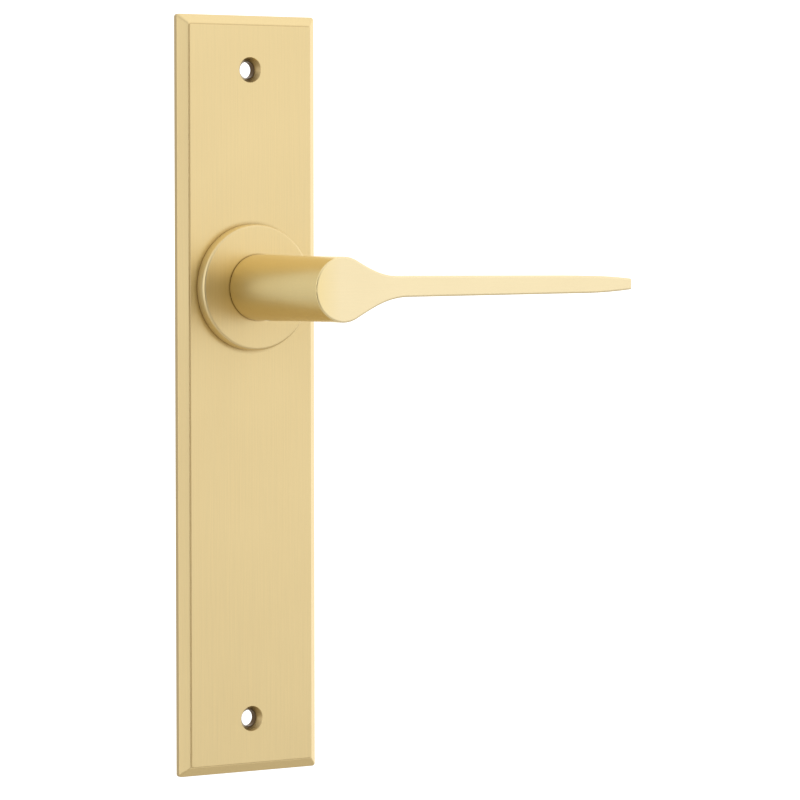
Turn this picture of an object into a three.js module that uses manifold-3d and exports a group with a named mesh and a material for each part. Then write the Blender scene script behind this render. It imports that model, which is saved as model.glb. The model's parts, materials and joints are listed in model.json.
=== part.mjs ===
// Lever handle on a long backplate: one side of a door, with the spring set that returns the lever.
//
// Millimetres, +Z up. The origin is where the lever's axis meets the back of the plate, which lies
// on the door. +Y goes into the door along that axis, and +X runs along the lever to its tip.
// The front of every piece is therefore its lowest Y.

import * as THREE from 'three';
import { mergeVertices } from 'three/addons/utils/BufferGeometryUtils.js';
import Module from 'manifold-3d';

const wasm = await Module();
wasm.setup();

// ---------------------------------------------------------------- driving dimensions

// Backplate
const PLATE_WIDTH = 50;
const PLATE_HEIGHT = 237;
const PLATE_THICKNESS = 4.4;
const AXIS_BELOW_TOP = 84.7; // from the plate's top edge down to the lever's axis
const PLATE_CORNER_RADIUS = 1;
const PLATE_BEVEL_WIDTH = 3.05; // across the sloping border, seen from the front
const PLATE_BEVEL_RISE = 2.3;
const PANEL_STEP = 0.4; // the flat panel stands this far above the border
const FIXING_INSET = 17; // screw hole centres from the top and bottom edges
const FIXING_HOLE_RADIUS = 2.6;
const COUNTERSINK_RADIUS = 3.95;
const COUNTERSINK_DEPTH = 2.1;

// Rose, the round collar that covers the spring set
const ROSE_RADIUS = 19.6;
const ROSE_THICKNESS = 4.15;
const ROSE_FRONT_WALL = 1.3;
const ROSE_EDGE = 0.35; // softened front edge
const CAVITY_RADIUS = 15.4;
const LIP_WALL = 0.6; // ring behind the rose that centres it in the plate
const LIP_LENGTH = 1.8;

// Lever
const NECK_RADIUS = 10;
const NECK_BASE_RADIUS = 10.3; // the neck widens a little towards the rose
const NECK_FLARE = [-36, -14]; // where it does so, along the axis
const PROJECTION = 58.3; // from the door to the lever's front face
const NECK_GAP = 0.3; // running gap between the neck and the rose
const LEVER_REACH = 108; // from the axis to the tip
const BLADE_ROOT_X = 22.5; // where the pinched neck has become the blade
const BLADE_ROOT_HALF_HEIGHT = 3.2;
const BLADE_SHOULDER_X = 92; // the edges start to close on the tip here
const BLADE_SHOULDER_HALF_HEIGHT = 2.72;
const BLADE_TIP_HALF_HEIGHT = 1.7;
const BLADE_RISE = 0.7; // the blade's mid height above the axis
const BLADE_ROOT_DEPTH = 18;
const BLADE_TIP_DEPTH = 15;
const LEVER_EDGE = 0.4; // softened edge round the front face
const PINCH_ANGLE = THREE.MathUtils.degToRad(62); // where the pinch leaves the neck's circle
const PINCH_PULL = 8; // how far it runs straight on from there
const TIP_CORNER_RADIUS = 3; // at the back of the tip, seen from above

// Spigot behind the neck, and what turns on it
const SPIGOT_RADIUS = 7.5;
const SPIGOT_END = 3.4; // behind the door face, in the door's spindle hole
const SPIGOT_FLAT = 6.4; // axis to each of the two flats that turn the driver
const GROOVE_DEPTH = 0.6;
const SPINDLE_SIZE = 8;
const SOCKET_CLEARANCE = 0.1;
const SOCKET_DEPTH = 39; // in front of the door face
const SPINDLE_END = 25;
const GRUB_RADIUS = 2.5;
const GRUB_SETBACK = 17; // from the door face to the clamping screw
const GRUB_LENGTH = 5;
const GRUB_TIP_GAP = 0.2; // between its point and the spindle

// Spring set
const RUNNING_CLEARANCE = 0.1;
const FIT_CLEARANCE = 0.15;
const TOUCH_GAP = 0.05; // between pieces that rest on each other
const SIDE_GAP = 0.2; // between the spring's legs and what they bear on
const COVER_RADIUS = 20.3;
const COVER_THICKNESS = 1.3;
const COVER_GAP = 0.3;
const COVER_SCREW_CIRCLE = 17.95;
const COVER_SCREW_COUNT = 4;
const COVER_SCREW_RADIUS = 0.85;
const COVER_SCREW_HEAD_RADIUS = 2.1;
const COVER_SCREW_LENGTH = 6.6;
const COVER_SCREW_CLEARANCE = 0.3; // round the shank, through the plate and the cover
const BUSH_WALL = 1.25;
const BUSH_FLANGE = 0.6;
const BUSH_FLANGE_REACH = 1.9; // beyond the bush's wall
const DRIVER_THICKNESS = 1.2;
const DRIVER_RADIUS = 10.9;
const DRIVER_ARM_HALF_WIDTH = 2.4;
const DRIVER_ARM_REACH = 15.1;
const DRIVER_TAB_LENGTH = 1.8;
const DRIVER_TAB_INNER = 12;
const TRAVEL = 45; // degrees from rest to full travel
const SPRING_ARM_ANGLE = 117; // degrees from +X towards +Z, with the lever at rest
const STOP_CLEARANCE = 0.3;
const PIN_RADIUS = 1.5;
const PIN_CIRCLE = 13.7;
const PIN_SEAT_DEPTH = 0.7; // into the rose's front wall
const WIRE_RADIUS = 0.65;
const COIL_RADIUS = 10.2;
const COIL_PITCH = 1.4;
const SPRING_WIND = 600; // degrees from the fixed leg round to the moving leg
const LEG_REACH = 14.6;
const THRUST_WASHER_THICKNESS = 0.4;
const WAVE_WASHER_THICKNESS = 0.3;
const WAVE_HEIGHT = 0.2;
const WAVE_ROOM = 0.15; // clear of the waves on each side
const CIRCLIP_THICKNESS = 0.8;
const CIRCLIP_WIDTH = 2;
const CIRCLIP_HALF_GAP = 24; // degrees
const CIRCLIP_EYE_RADIUS = 1.5;

// Smoothness of round surfaces: sides to a full circle
const LARGE_ROUND = 60;
const MEDIUM_ROUND = 40;
const SMALL_ROUND = 16;

// ---------------------------------------------------------------- places worked out from them

const PLATE_FRONT = -PLATE_THICKNESS;
const ROSE_FRONT = PLATE_FRONT - ROSE_THICKNESS;
const CAVITY_FRONT = ROSE_FRONT + ROSE_FRONT_WALL;
const PLATE_TOP = AXIS_BELOW_TOP;
const PLATE_BOTTOM = AXIS_BELOW_TOP - PLATE_HEIGHT;
const LIP_RADIUS = CAVITY_RADIUS + LIP_WALL;
const PLATE_OPENING_RADIUS = LIP_RADIUS + RUNNING_CLEARANCE * 2;
const COVER_RECESS_RADIUS = COVER_RADIUS + COVER_GAP;
const COVER_FRONT = -COVER_THICKNESS;
const DRIVER_BACK = COVER_FRONT - COVER_GAP;
const DRIVER_FRONT = DRIVER_BACK - DRIVER_THICKNESS;
const BUSH_BORE_RADIUS = SPIGOT_RADIUS + RUNNING_CLEARANCE;
const BUSH_RADIUS = BUSH_BORE_RADIUS + BUSH_WALL;
const BUSH_SEAT_RADIUS = BUSH_RADIUS + FIT_CLEARANCE;
const BUSH_FLANGE_RADIUS = BUSH_RADIUS + BUSH_FLANGE_REACH;
const SOCKET_SIZE = SPINDLE_SIZE + 2 * SOCKET_CLEARANCE;
const NECK_BACK = ROSE_FRONT - NECK_GAP;
const LEVER_FRONT = -PROJECTION;
const SPRING_FRONT = CAVITY_FRONT + BUSH_FLANGE + TOUCH_GAP + WIRE_RADIUS;
const SPRING_BACK = SPRING_FRONT + (COIL_PITCH * SPRING_WIND) / 360;
const REAR_BUSH_FLANGE_FRONT = TOUCH_GAP;
const THRUST_WASHER_FRONT = REAR_BUSH_FLANGE_FRONT + BUSH_FLANGE + TOUCH_GAP;
const THRUST_WASHER_BACK = THRUST_WASHER_FRONT + THRUST_WASHER_THICKNESS;
const WAVE_WASHER_FRONT = THRUST_WASHER_BACK + WAVE_HEIGHT + WAVE_ROOM;
const WAVE_WASHER_BACK = WAVE_WASHER_FRONT + WAVE_WASHER_THICKNESS;
const CIRCLIP_FRONT = WAVE_WASHER_BACK + WAVE_HEIGHT + WAVE_ROOM - TOUCH_GAP;
const CIRCLIP_BACK = CIRCLIP_FRONT + CIRCLIP_THICKNESS;
const WASHER_BORE_RADIUS = BUSH_BORE_RADIUS + RUNNING_CLEARANCE;
const GRUB_SCREW_RADIUS = GRUB_RADIUS - FIT_CLEARANCE;
const OVERRUN = 1; // how far a cutting tool runs past the face it opens

// ---------------------------------------------------------------- materials

function material(colour, roughness, metalness) {
  return new THREE.MeshStandardMaterial({ color: colour, roughness, metalness });
}

const satinBrass = () => material(0xe0c48a, 0.38, 1);
const zincSteel = () => material(0xb9bcc0, 0.35, 1);
const springSteel = () => material(0x6f7278, 0.4, 1);
const blackSteel = () => material(0x2e3033, 0.5, 0.9);
const castZinc = () => material(0x9a9da1, 0.55, 1);
const naturalNylon = () => material(0xe9e4d6, 0.6, 0);

// ---------------------------------------------------------------- shape helpers

/** A closed three.js geometry as a solid, with its faces turned outwards. */
function solid(geometry) {
  const bare = geometry.clone();
  bare.deleteAttribute('normal');
  bare.deleteAttribute('uv');
  const merged = mergeVertices(bare, 1e-4);
  const vertProperties = new Float32Array(merged.attributes.position.array);
  const triVerts = new Uint32Array(merged.index.array);
  if (signedVolume(vertProperties, triVerts) < 0) {
    turnInsideOut(triVerts);
  }
  return new wasm.Manifold(new wasm.Mesh({ numProp: 3, vertProperties, triVerts }));
}

/** Six times the signed volume inside a closed mesh; negative when its faces point inwards. */
function signedVolume(points, triangles) {
  const corner = (k) => new THREE.Vector3().fromArray(points, 3 * triangles[k]);
  let total = 0;
  for (let k = 0; k < triangles.length; k += 3) {
    total += corner(k).dot(corner(k + 1).cross(corner(k + 2)));
  }
  return total;
}

function turnInsideOut(triangles) {
  for (let k = 0; k < triangles.length; k += 3) {
    [triangles[k + 1], triangles[k + 2]] = [triangles[k + 2], triangles[k + 1]];
  }
}

/** A solid as a three.js geometry with flat-shaded faces. */
function geometryOf(body) {
  const mesh = body.getMesh();
  const geometry = new THREE.BufferGeometry();
  geometry.setAttribute('position', new THREE.BufferAttribute(mesh.vertProperties, 3));
  geometry.setIndex(new THREE.BufferAttribute(mesh.triVerts, 1));
  const faceted = geometry.toNonIndexed();
  faceted.computeVertexNormals();
  return faceted;
}

function joined(bodies) {
  return bodies.reduce((all, body) => all.add(body));
}

/** Revolves [radius, y] points about the Y axis. */
function turned(profile, sides) {
  const points = profile.map(([radius, y]) => new THREE.Vector2(radius, y));
  return solid(new THREE.LatheGeometry(points, sides));
}

function disc(radius, front, back, sides) {
  return turned([[0, front], [radius, front], [radius, back], [0, back]], sides);
}

function tube(inner, outer, front, back, sides) {
  const profile = [[inner, front], [outer, front], [outer, back], [inner, back], [inner, front]];
  return turned(profile, sides);
}

/** A shape's outline without the doubled points where its curves meet. */
function cleanOutline(shape, curveSegments) {
  const points = shape.getPoints(curveSegments);
  const distinct = points.filter((point, k) => point.distanceTo(points.at(k - 1)) > 1e-3);
  return new THREE.Shape(distinct);
}

/** Extrudes a shape drawn in X and Z along Y, from front to back. */
function pressed(shape, front, back, options = {}) {
  const bevel = options.bevelEnabled ? options.bevelThickness : 0;
  const depth = back - front - 2 * bevel;
  const outline = cleanOutline(shape, options.curveSegments ?? 12);
  const geometry = new THREE.ExtrudeGeometry(outline, { bevelEnabled: false, ...options, depth });
  geometry.rotateX(Math.PI / 2);
  geometry.translate(0, back - bevel, 0);
  return solid(geometry);
}

function block(sizeX, sizeY, sizeZ, centreX, centreY, centreZ) {
  const geometry = new THREE.BoxGeometry(sizeX, sizeY, sizeZ);
  geometry.translate(centreX, centreY, centreZ);
  return solid(geometry);
}

function rectangle(width, height, centreZ) {
  const corner = (sideX, sideZ) => new THREE.Vector2((sideX * width) / 2, centreZ + (sideZ * height) / 2);
  return new THREE.Shape([corner(-1, -1), corner(1, -1), corner(1, 1), corner(-1, 1)]);
}

function roundedRectangle(width, height, centreZ, radius) {
  const shape = new THREE.Shape();
  const right = width / 2;
  const top = centreZ + height / 2;
  const bottom = centreZ - height / 2;
  shape.moveTo(radius - right, bottom);
  shape.absarc(right - radius, bottom + radius, radius, -Math.PI / 2, 0);
  shape.absarc(right - radius, top - radius, radius, 0, Math.PI / 2);
  shape.absarc(radius - right, top - radius, radius, Math.PI / 2, Math.PI);
  shape.absarc(radius - right, bottom + radius, radius, Math.PI, Math.PI * 1.5);
  shape.closePath();
  return shape;
}

/** A point on a circle round the lever's axis, by its angle in degrees from +X towards +Z. */
function around(radius, degrees, y) {
  const angle = THREE.MathUtils.degToRad(degrees);
  return new THREE.Vector3(radius * Math.cos(angle), y, radius * Math.sin(angle));
}

function moved(body, place) {
  return body.translate([place.x, place.y, place.z]);
}

/** Turns a body drawn along +X to another angle round the lever's axis. */
function swung(body, degrees) {
  return body.rotate([0, -degrees, 0]);
}

/** The angle at a radius that leaves room for two half widths and a gap between them, in degrees. */
function clearAngle(radius, halfWidths) {
  return THREE.MathUtils.radToDeg(Math.asin(halfWidths / radius));
}

// ---------------------------------------------------------------- angles of the spring set

const STOP_ARM_ANGLE = SPRING_ARM_ANGLE + 180;
const STOP_OFFSET = clearAngle(PIN_CIRCLE, DRIVER_ARM_HALF_WIDTH + PIN_RADIUS + STOP_CLEARANCE);
const MOVING_LEG_OFFSET = clearAngle(DRIVER_TAB_INNER, DRIVER_ARM_HALF_WIDTH + WIRE_RADIUS + SIDE_GAP);
const MOVING_LEG_ANGLE = SPRING_ARM_ANGLE - MOVING_LEG_OFFSET;
const FIXED_LEG_ANGLE = MOVING_LEG_ANGLE + SPRING_WIND;
const ANCHOR_OFFSET = clearAngle(PIN_CIRCLE, WIRE_RADIUS + PIN_RADIUS + SIDE_GAP);
const PINS = {
  rest_stop_pin: STOP_ARM_ANGLE + STOP_OFFSET,
  travel_stop_pin: STOP_ARM_ANGLE - TRAVEL - STOP_OFFSET,
  spring_anchor_pin: FIXED_LEG_ANGLE - ANCHOR_OFFSET,
};

function coverScrewAngle(index) {
  return 45 + (index * 360) / COVER_SCREW_COUNT;
}

// ---------------------------------------------------------------- the pieces

/** Border with a sloping edge, a flat panel on it, and openings for the spring set and two screws. */
function backplate() {
  const centreZ = (PLATE_TOP + PLATE_BOTTOM) / 2;
  const outline = roundedRectangle(PLATE_WIDTH, PLATE_HEIGHT, centreZ, PLATE_CORNER_RADIUS);
  const borderFront = PLATE_FRONT + PANEL_STEP;
  const sloped = pressed(rectangle(PLATE_WIDTH, PLATE_HEIGHT, centreZ), borderFront, -2 * borderFront, {
    bevelEnabled: true,
    bevelThickness: PLATE_BEVEL_RISE,
    bevelSize: PLATE_BEVEL_WIDTH,
    bevelOffset: -PLATE_BEVEL_WIDTH,
    bevelSegments: 1,
  });
  const border = pressed(outline, 2 * borderFront, -borderFront, { curveSegments: 3 }).intersect(sloped);
  const doorSide = block(
    2 * PLATE_WIDTH, 2 * PLATE_THICKNESS, 2 * PLATE_HEIGHT, 0, PLATE_THICKNESS, centreZ);
  const panelInset = 2 * (PLATE_BEVEL_WIDTH + PANEL_STEP / 2);
  const panelOutline = roundedRectangle(
    PLATE_WIDTH - panelInset, PLATE_HEIGHT - panelInset, centreZ, PLATE_CORNER_RADIUS / 2);
  const panel = pressed(panelOutline, PLATE_FRONT, -PLATE_THICKNESS / 2, { curveSegments: 3 });
  const cuts = [
    doorSide,
    disc(PLATE_OPENING_RADIUS, PLATE_FRONT - OVERRUN, OVERRUN, LARGE_ROUND),
    disc(COVER_RECESS_RADIUS, COVER_FRONT, OVERRUN, LARGE_ROUND),
    moved(fixingHole(), new THREE.Vector3(0, 0, PLATE_TOP - FIXING_INSET)),
    moved(fixingHole(), new THREE.Vector3(0, 0, PLATE_BOTTOM + FIXING_INSET)),
  ];
  for (let index = 0; index < COVER_SCREW_COUNT; index += 1) {
    const radius = COVER_SCREW_RADIUS + COVER_SCREW_CLEARANCE;
    const clearance = disc(radius, PLATE_FRONT - OVERRUN, OVERRUN, SMALL_ROUND);
    cuts.push(moved(clearance, around(COVER_SCREW_CIRCLE, coverScrewAngle(index), 0)));
  }
  return border.add(panel).subtract(joined(cuts));
}

function fixingHole() {
  const seat = PLATE_FRONT + COUNTERSINK_DEPTH;
  const slope = (COUNTERSINK_RADIUS - FIXING_HOLE_RADIUS) / COUNTERSINK_DEPTH;
  const mouth = COUNTERSINK_RADIUS + OVERRUN * slope;
  return turned([
    [0, PLATE_FRONT - OVERRUN],
    [mouth, PLATE_FRONT - OVERRUN],
    [FIXING_HOLE_RADIUS, seat],
    [FIXING_HOLE_RADIUS, OVERRUN],
    [0, OVERRUN],
  ], 2 * SMALL_ROUND);
}

/** Cup that covers the spring set, bored for the neck bush, the pins and the cover screws. */
function rose() {
  const lipEnd = PLATE_FRONT + LIP_LENGTH;
  const cup = turned([
    [0, ROSE_FRONT],
    [ROSE_RADIUS - ROSE_EDGE, ROSE_FRONT],
    [ROSE_RADIUS, ROSE_FRONT + ROSE_EDGE],
    [ROSE_RADIUS, PLATE_FRONT],
    [LIP_RADIUS, PLATE_FRONT],
    [LIP_RADIUS, lipEnd],
    [CAVITY_RADIUS, lipEnd],
    [CAVITY_RADIUS, CAVITY_FRONT],
    [0, CAVITY_FRONT],
  ], LARGE_ROUND);
  const cuts = [disc(BUSH_SEAT_RADIUS, ROSE_FRONT - OVERRUN, 0, MEDIUM_ROUND)];
  for (const angle of Object.values(PINS)) {
    const seat = disc(PIN_RADIUS + FIT_CLEARANCE, CAVITY_FRONT - PIN_SEAT_DEPTH, 0, SMALL_ROUND);
    cuts.push(moved(seat, around(PIN_CIRCLE, angle, 0)));
  }
  for (let index = 0; index < COVER_SCREW_COUNT; index += 1) {
    const pilotFront = -COVER_SCREW_LENGTH - COVER_SCREW_CLEARANCE;
    const pilot = disc(COVER_SCREW_RADIUS + FIT_CLEARANCE, pilotFront, 0, SMALL_ROUND);
    cuts.push(moved(pilot, around(COVER_SCREW_CIRCLE, coverScrewAngle(index), 0)));
  }
  return cup.subtract(joined(cuts));
}

/** Disc behind the spring set, let into the back of the plate. */
function coverPlate() {
  const front = COVER_FRONT - OVERRUN;
  const cuts = [disc(BUSH_SEAT_RADIUS, front, OVERRUN, MEDIUM_ROUND)];
  for (const angle of Object.values(PINS)) {
    const seat = disc(PIN_RADIUS + FIT_CLEARANCE, front, OVERRUN, SMALL_ROUND);
    cuts.push(moved(seat, around(PIN_CIRCLE, angle, 0)));
  }
  for (let index = 0; index < COVER_SCREW_COUNT; index += 1) {
    const neck = COVER_SCREW_RADIUS + COVER_SCREW_CLEARANCE;
    const mouth = COVER_SCREW_HEAD_RADIUS + 2 * RUNNING_CLEARANCE;
    const countersink = turned([
      [0, front],
      [neck, front],
      [neck, COVER_FRONT + RUNNING_CLEARANCE],
      [mouth, 0],
      [mouth, OVERRUN],
      [0, OVERRUN],
    ], SMALL_ROUND);
    cuts.push(moved(countersink, around(COVER_SCREW_CIRCLE, coverScrewAngle(index), 0)));
  }
  return disc(COVER_RADIUS, COVER_FRONT, 0, LARGE_ROUND).subtract(joined(cuts));
}

/** Countersunk screw with its head at the back, driven forwards into the rose. */
function coverScrew() {
  const headBack = -TOUCH_GAP;
  const headFront = headBack - 1;
  const headRim = 0.1;
  const point = { length: 0.6, inset: 0.35 };
  const body = turned([
    [0, -COVER_SCREW_LENGTH],
    [COVER_SCREW_RADIUS - point.inset, -COVER_SCREW_LENGTH],
    [COVER_SCREW_RADIUS, point.length - COVER_SCREW_LENGTH],
    [COVER_SCREW_RADIUS, headFront],
    [COVER_SCREW_HEAD_RADIUS, headBack - headRim],
    [COVER_SCREW_HEAD_RADIUS, headBack],
    [0, headBack],
  ], SMALL_ROUND);
  const slotWidth = 0.45;
  const slotLength = 2.4;
  const slotDepth = 1.2;
  const recess = block(slotLength, slotDepth, slotWidth, 0, headBack, 0)
    .add(block(slotWidth, slotDepth, slotLength, 0, headBack, 0));
  return body.subtract(recess);
}

/** Dowel held between the rose's front wall and the cover plate. */
function pin() {
  const edge = 0.2;
  const front = CAVITY_FRONT - PIN_SEAT_DEPTH + 2 * TOUCH_GAP;
  const back = -SIDE_GAP - TOUCH_GAP;
  return turned([
    [0, front],
    [PIN_RADIUS - edge, front],
    [PIN_RADIUS, front + edge],
    [PIN_RADIUS, back - edge],
    [PIN_RADIUS - edge, back],
    [0, back],
  ], SMALL_ROUND);
}

/** Plain bearing with its flange at the back end, from front to back. */
function flangedBush(front, flangeFront) {
  const flangeBack = flangeFront + BUSH_FLANGE;
  return turned([
    [BUSH_BORE_RADIUS, front],
    [BUSH_RADIUS, front],
    [BUSH_RADIUS, flangeFront],
    [BUSH_FLANGE_RADIUS, flangeFront],
    [BUSH_FLANGE_RADIUS, flangeBack],
    [BUSH_BORE_RADIUS, flangeBack],
    [BUSH_BORE_RADIUS, front],
  ], MEDIUM_ROUND);
}

/** Plate on the spigot's flats: one arm works between the stop pins, the other loads the spring. */
function springDriver() {
  const armLength = DRIVER_ARM_REACH;
  const arm = block(
    armLength, DRIVER_THICKNESS, 2 * DRIVER_ARM_HALF_WIDTH,
    armLength / 2, (DRIVER_FRONT + DRIVER_BACK) / 2, 0);
  const tabWidth = DRIVER_ARM_REACH - DRIVER_TAB_INNER;
  const tabDepth = DRIVER_TAB_LENGTH + DRIVER_THICKNESS;
  const tab = block(
    tabWidth, tabDepth, 2 * DRIVER_ARM_HALF_WIDTH,
    DRIVER_ARM_REACH - tabWidth / 2, DRIVER_BACK - tabDepth / 2, 0);
  const hub = disc(DRIVER_RADIUS, DRIVER_FRONT, DRIVER_BACK, MEDIUM_ROUND);
  const rim = disc(DRIVER_ARM_REACH, ROSE_FRONT, 0, LARGE_ROUND);
  const arms = swung(arm.add(tab), SPRING_ARM_ANGLE).add(swung(arm, STOP_ARM_ANGLE)).intersect(rim);
  return hub.add(arms).subtract(flattedRound(FIT_CLEARANCE, ROSE_FRONT, 0));
}

/** The spigot's section, a round with two flats, grown by a clearance. */
function flattedRound(clearance, front, back) {
  const width = 2 * (SPIGOT_FLAT + clearance);
  const flats = block(width, 4 * (back - front), 4 * SPIGOT_RADIUS, 0, 0, 0);
  return disc(SPIGOT_RADIUS + clearance, front, back, MEDIUM_ROUND).intersect(flats);
}

/** Torsion spring: a leg comes in to the coil, winds round the spigot and goes out to the driver. */
function returnSpring() {
  const legBend = 24;
  const stepDegrees = 15;
  const turns = SPRING_WIND / 360;
  const depthAt = (wound) => SPRING_FRONT + (COIL_PITCH * turns * wound) / SPRING_WIND;
  const onCoil = (wound, radius) => around(radius, FIXED_LEG_ANGLE - wound, depthAt(wound));
  const bendRadius = COIL_RADIUS + 1;
  const legMiddle = (LEG_REACH + COIL_RADIUS) / 2 + 0.6;
  const route = [onCoil(0, LEG_REACH), onCoil(0, legMiddle), onCoil(legBend / 4, bendRadius)];
  for (let wound = legBend; wound <= SPRING_WIND - legBend; wound += stepDegrees) {
    route.push(onCoil(wound, COIL_RADIUS));
  }
  route.push(onCoil(SPRING_WIND - legBend / 4, bendRadius));
  route.push(onCoil(SPRING_WIND, legMiddle));
  route.push(onCoil(SPRING_WIND, LEG_REACH));
  const section = new THREE.Shape().absarc(0, 0, WIRE_RADIUS, 0, 2 * Math.PI);
  return solid(new THREE.ExtrudeGeometry(section, {
    extrudePath: new THREE.CatmullRomCurve3(route, false, 'centripetal'),
    steps: 72,
    curveSegments: 4,
    bevelEnabled: false,
  }));
}

/** Front view of the lever: the neck's circle, pinched in to a slim blade. */
function leverFrontOutline() {
  const pinchX = NECK_RADIUS * Math.cos(PINCH_ANGLE);
  const pinchZ = NECK_RADIUS * Math.sin(PINCH_ANGLE);
  const shape = new THREE.Shape();
  const leaveX = pinchX + PINCH_PULL * Math.sin(PINCH_ANGLE);
  const leaveZ = pinchZ - PINCH_PULL * Math.cos(PINCH_ANGLE);
  const arriveX = BLADE_ROOT_X - 7;
  const arriveZ = (side) => side * (BLADE_ROOT_HALF_HEIGHT + 0.1) + BLADE_RISE / 2;
  const level = (side, halfHeight) => side * halfHeight + BLADE_RISE;
  const shoulder = BLADE_SHOULDER_HALF_HEIGHT;
  const bendX = (BLADE_SHOULDER_X + LEVER_REACH) / 2;
  const bend = shoulder - 0.15;

  shape.moveTo(pinchX, -pinchZ);
  shape.bezierCurveTo(
    leaveX, -leaveZ, arriveX, arriveZ(-1), BLADE_ROOT_X, level(-1, BLADE_ROOT_HALF_HEIGHT));
  shape.lineTo(BLADE_SHOULDER_X, level(-1, shoulder));
  shape.quadraticCurveTo(bendX, level(-1, bend), LEVER_REACH, level(-1, BLADE_TIP_HALF_HEIGHT));
  shape.lineTo(LEVER_REACH, level(1, BLADE_TIP_HALF_HEIGHT));
  shape.quadraticCurveTo(bendX, level(1, bend), BLADE_SHOULDER_X, level(1, shoulder));
  shape.lineTo(BLADE_ROOT_X, level(1, BLADE_ROOT_HALF_HEIGHT));
  shape.bezierCurveTo(arriveX, arriveZ(1), leaveX, leaveZ, pinchX, pinchZ);
  shape.absarc(0, 0, NECK_RADIUS, PINCH_ANGLE, 2 * Math.PI - PINCH_ANGLE);
  return shape;
}

/** Plan of the blade: flat front, and a back edge that sweeps forward from the neck to the tip. */
function leverPlanOutline() {
  const back = (depth) => LEVER_FRONT + depth;
  const cornerStart = LEVER_REACH - TIP_CORNER_RADIUS;
  const shape = new THREE.Shape();
  shape.moveTo(-2 * NECK_RADIUS, LEVER_FRONT - OVERRUN);
  shape.lineTo(2 * LEVER_REACH, LEVER_FRONT - OVERRUN);
  shape.lineTo(2 * LEVER_REACH, back(0));
  shape.lineTo(LEVER_REACH, back(0));
  shape.lineTo(LEVER_REACH, back(BLADE_TIP_DEPTH - TIP_CORNER_RADIUS));
  shape.quadraticCurveTo(LEVER_REACH, back(BLADE_TIP_DEPTH), cornerStart, back(BLADE_TIP_DEPTH));
  shape.lineTo(1.2 * BLADE_ROOT_X, back(BLADE_ROOT_DEPTH));
  shape.bezierCurveTo(
    0.62 * BLADE_ROOT_X, back(BLADE_ROOT_DEPTH),
    0.78 * NECK_RADIUS, back(1.35 * BLADE_ROOT_DEPTH),
    0.65 * NECK_RADIUS, back(2 * BLADE_ROOT_DEPTH));
  shape.lineTo(-2 * NECK_RADIUS, back(2 * BLADE_ROOT_DEPTH));
  shape.closePath();
  return shape;
}

/** Lever: blade and neck in one casting, with a spigot behind, socketed for the square spindle. */
function lever() {
  const front = pressed(leverFrontOutline(), LEVER_FRONT, NECK_BACK, {
    bevelEnabled: true,
    bevelThickness: LEVER_EDGE,
    bevelSize: LEVER_EDGE,
    bevelOffset: -LEVER_EDGE,
    bevelSegments: 2,
    curveSegments: 14,
  });
  const tall = 4 * NECK_RADIUS;
  const plan = new THREE.ExtrudeGeometry(cleanOutline(leverPlanOutline(), 12), {
    depth: tall,
    bevelEnabled: false,
  });
  plan.translate(0, 0, -tall / 2);
  const blade = front.intersect(solid(plan));
  const spigot = disc(SPIGOT_RADIUS, NECK_BACK - OVERRUN, SPIGOT_END, MEDIUM_ROUND);
  const flatLength = 20;
  const flatWidth = 4;
  const flatCuts = [-1, 1].map((side) => block(
    flatWidth, flatLength, 4 * SPIGOT_RADIUS,
    side * (SPIGOT_FLAT + flatWidth / 2), DRIVER_FRONT - SIDE_GAP + flatLength / 2, 0));
  const socketLength = SOCKET_DEPTH + SPIGOT_END + OVERRUN;
  const socket = block(
    SOCKET_SIZE, socketLength, SOCKET_SIZE, 0, socketLength / 2 - SOCKET_DEPTH, 0);
  const groove = tube(
    SPIGOT_RADIUS - GROOVE_DEPTH, 2 * SPIGOT_RADIUS,
    CIRCLIP_FRONT - RUNNING_CLEARANCE, CIRCLIP_BACK + RUNNING_CLEARANCE, MEDIUM_ROUND);
  const cuts = joined([socket, groove, grubHole(), ...flatCuts]);
  return joined([blade, neck(), spigot]).subtract(cuts);
}

function neck() {
  const front = LEVER_FRONT + 2 * LEVER_EDGE;
  return turned([
    [0, front],
    [NECK_RADIUS, front],
    [NECK_RADIUS, NECK_FLARE[0]],
    [NECK_BASE_RADIUS, NECK_FLARE[1]],
    [NECK_BASE_RADIUS, NECK_BACK],
    [0, NECK_BACK],
  ], LARGE_ROUND);
}

function grubHole() {
  const length = 1.5 * NECK_RADIUS;
  const geometry = new THREE.CylinderGeometry(GRUB_RADIUS, GRUB_RADIUS, length, SMALL_ROUND);
  geometry.rotateX(Math.PI / 2);
  geometry.translate(0, -GRUB_SETBACK, -length / 2);
  return solid(geometry);
}

/** Set screw with a hexagon socket, pointing up at the spindle, from its own lower end. */
function grubScrew() {
  const edge = 0.3;
  const point = 0.8;
  const body = turned([
    [0, 0],
    [GRUB_SCREW_RADIUS - edge, 0],
    [GRUB_SCREW_RADIUS, edge],
    [GRUB_SCREW_RADIUS, GRUB_LENGTH - point],
    [GRUB_SCREW_RADIUS - point, GRUB_LENGTH],
    [0, GRUB_LENGTH],
  ], SMALL_ROUND);
  const socketRadius = 1.44;
  const socketDepth = 2.4;
  const socket = disc(socketRadius, -OVERRUN, socketDepth, 6);
  return body.subtract(socket);
}

/** Square bar that carries the lever's turn to the lock, with its ends chamfered. */
function spindle() {
  const chamfer = 0.6;
  const front = 0.5 - SOCKET_DEPTH;
  return pressed(rectangle(SPINDLE_SIZE, SPINDLE_SIZE, 0), front, SPINDLE_END, {
    bevelEnabled: true,
    bevelThickness: chamfer,
    bevelSize: chamfer,
    bevelOffset: -chamfer,
    bevelSegments: 1,
  });
}

function thrustWasher() {
  return tube(
    WASHER_BORE_RADIUS, BUSH_FLANGE_RADIUS, THRUST_WASHER_FRONT, THRUST_WASHER_BACK, MEDIUM_ROUND);
}

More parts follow.
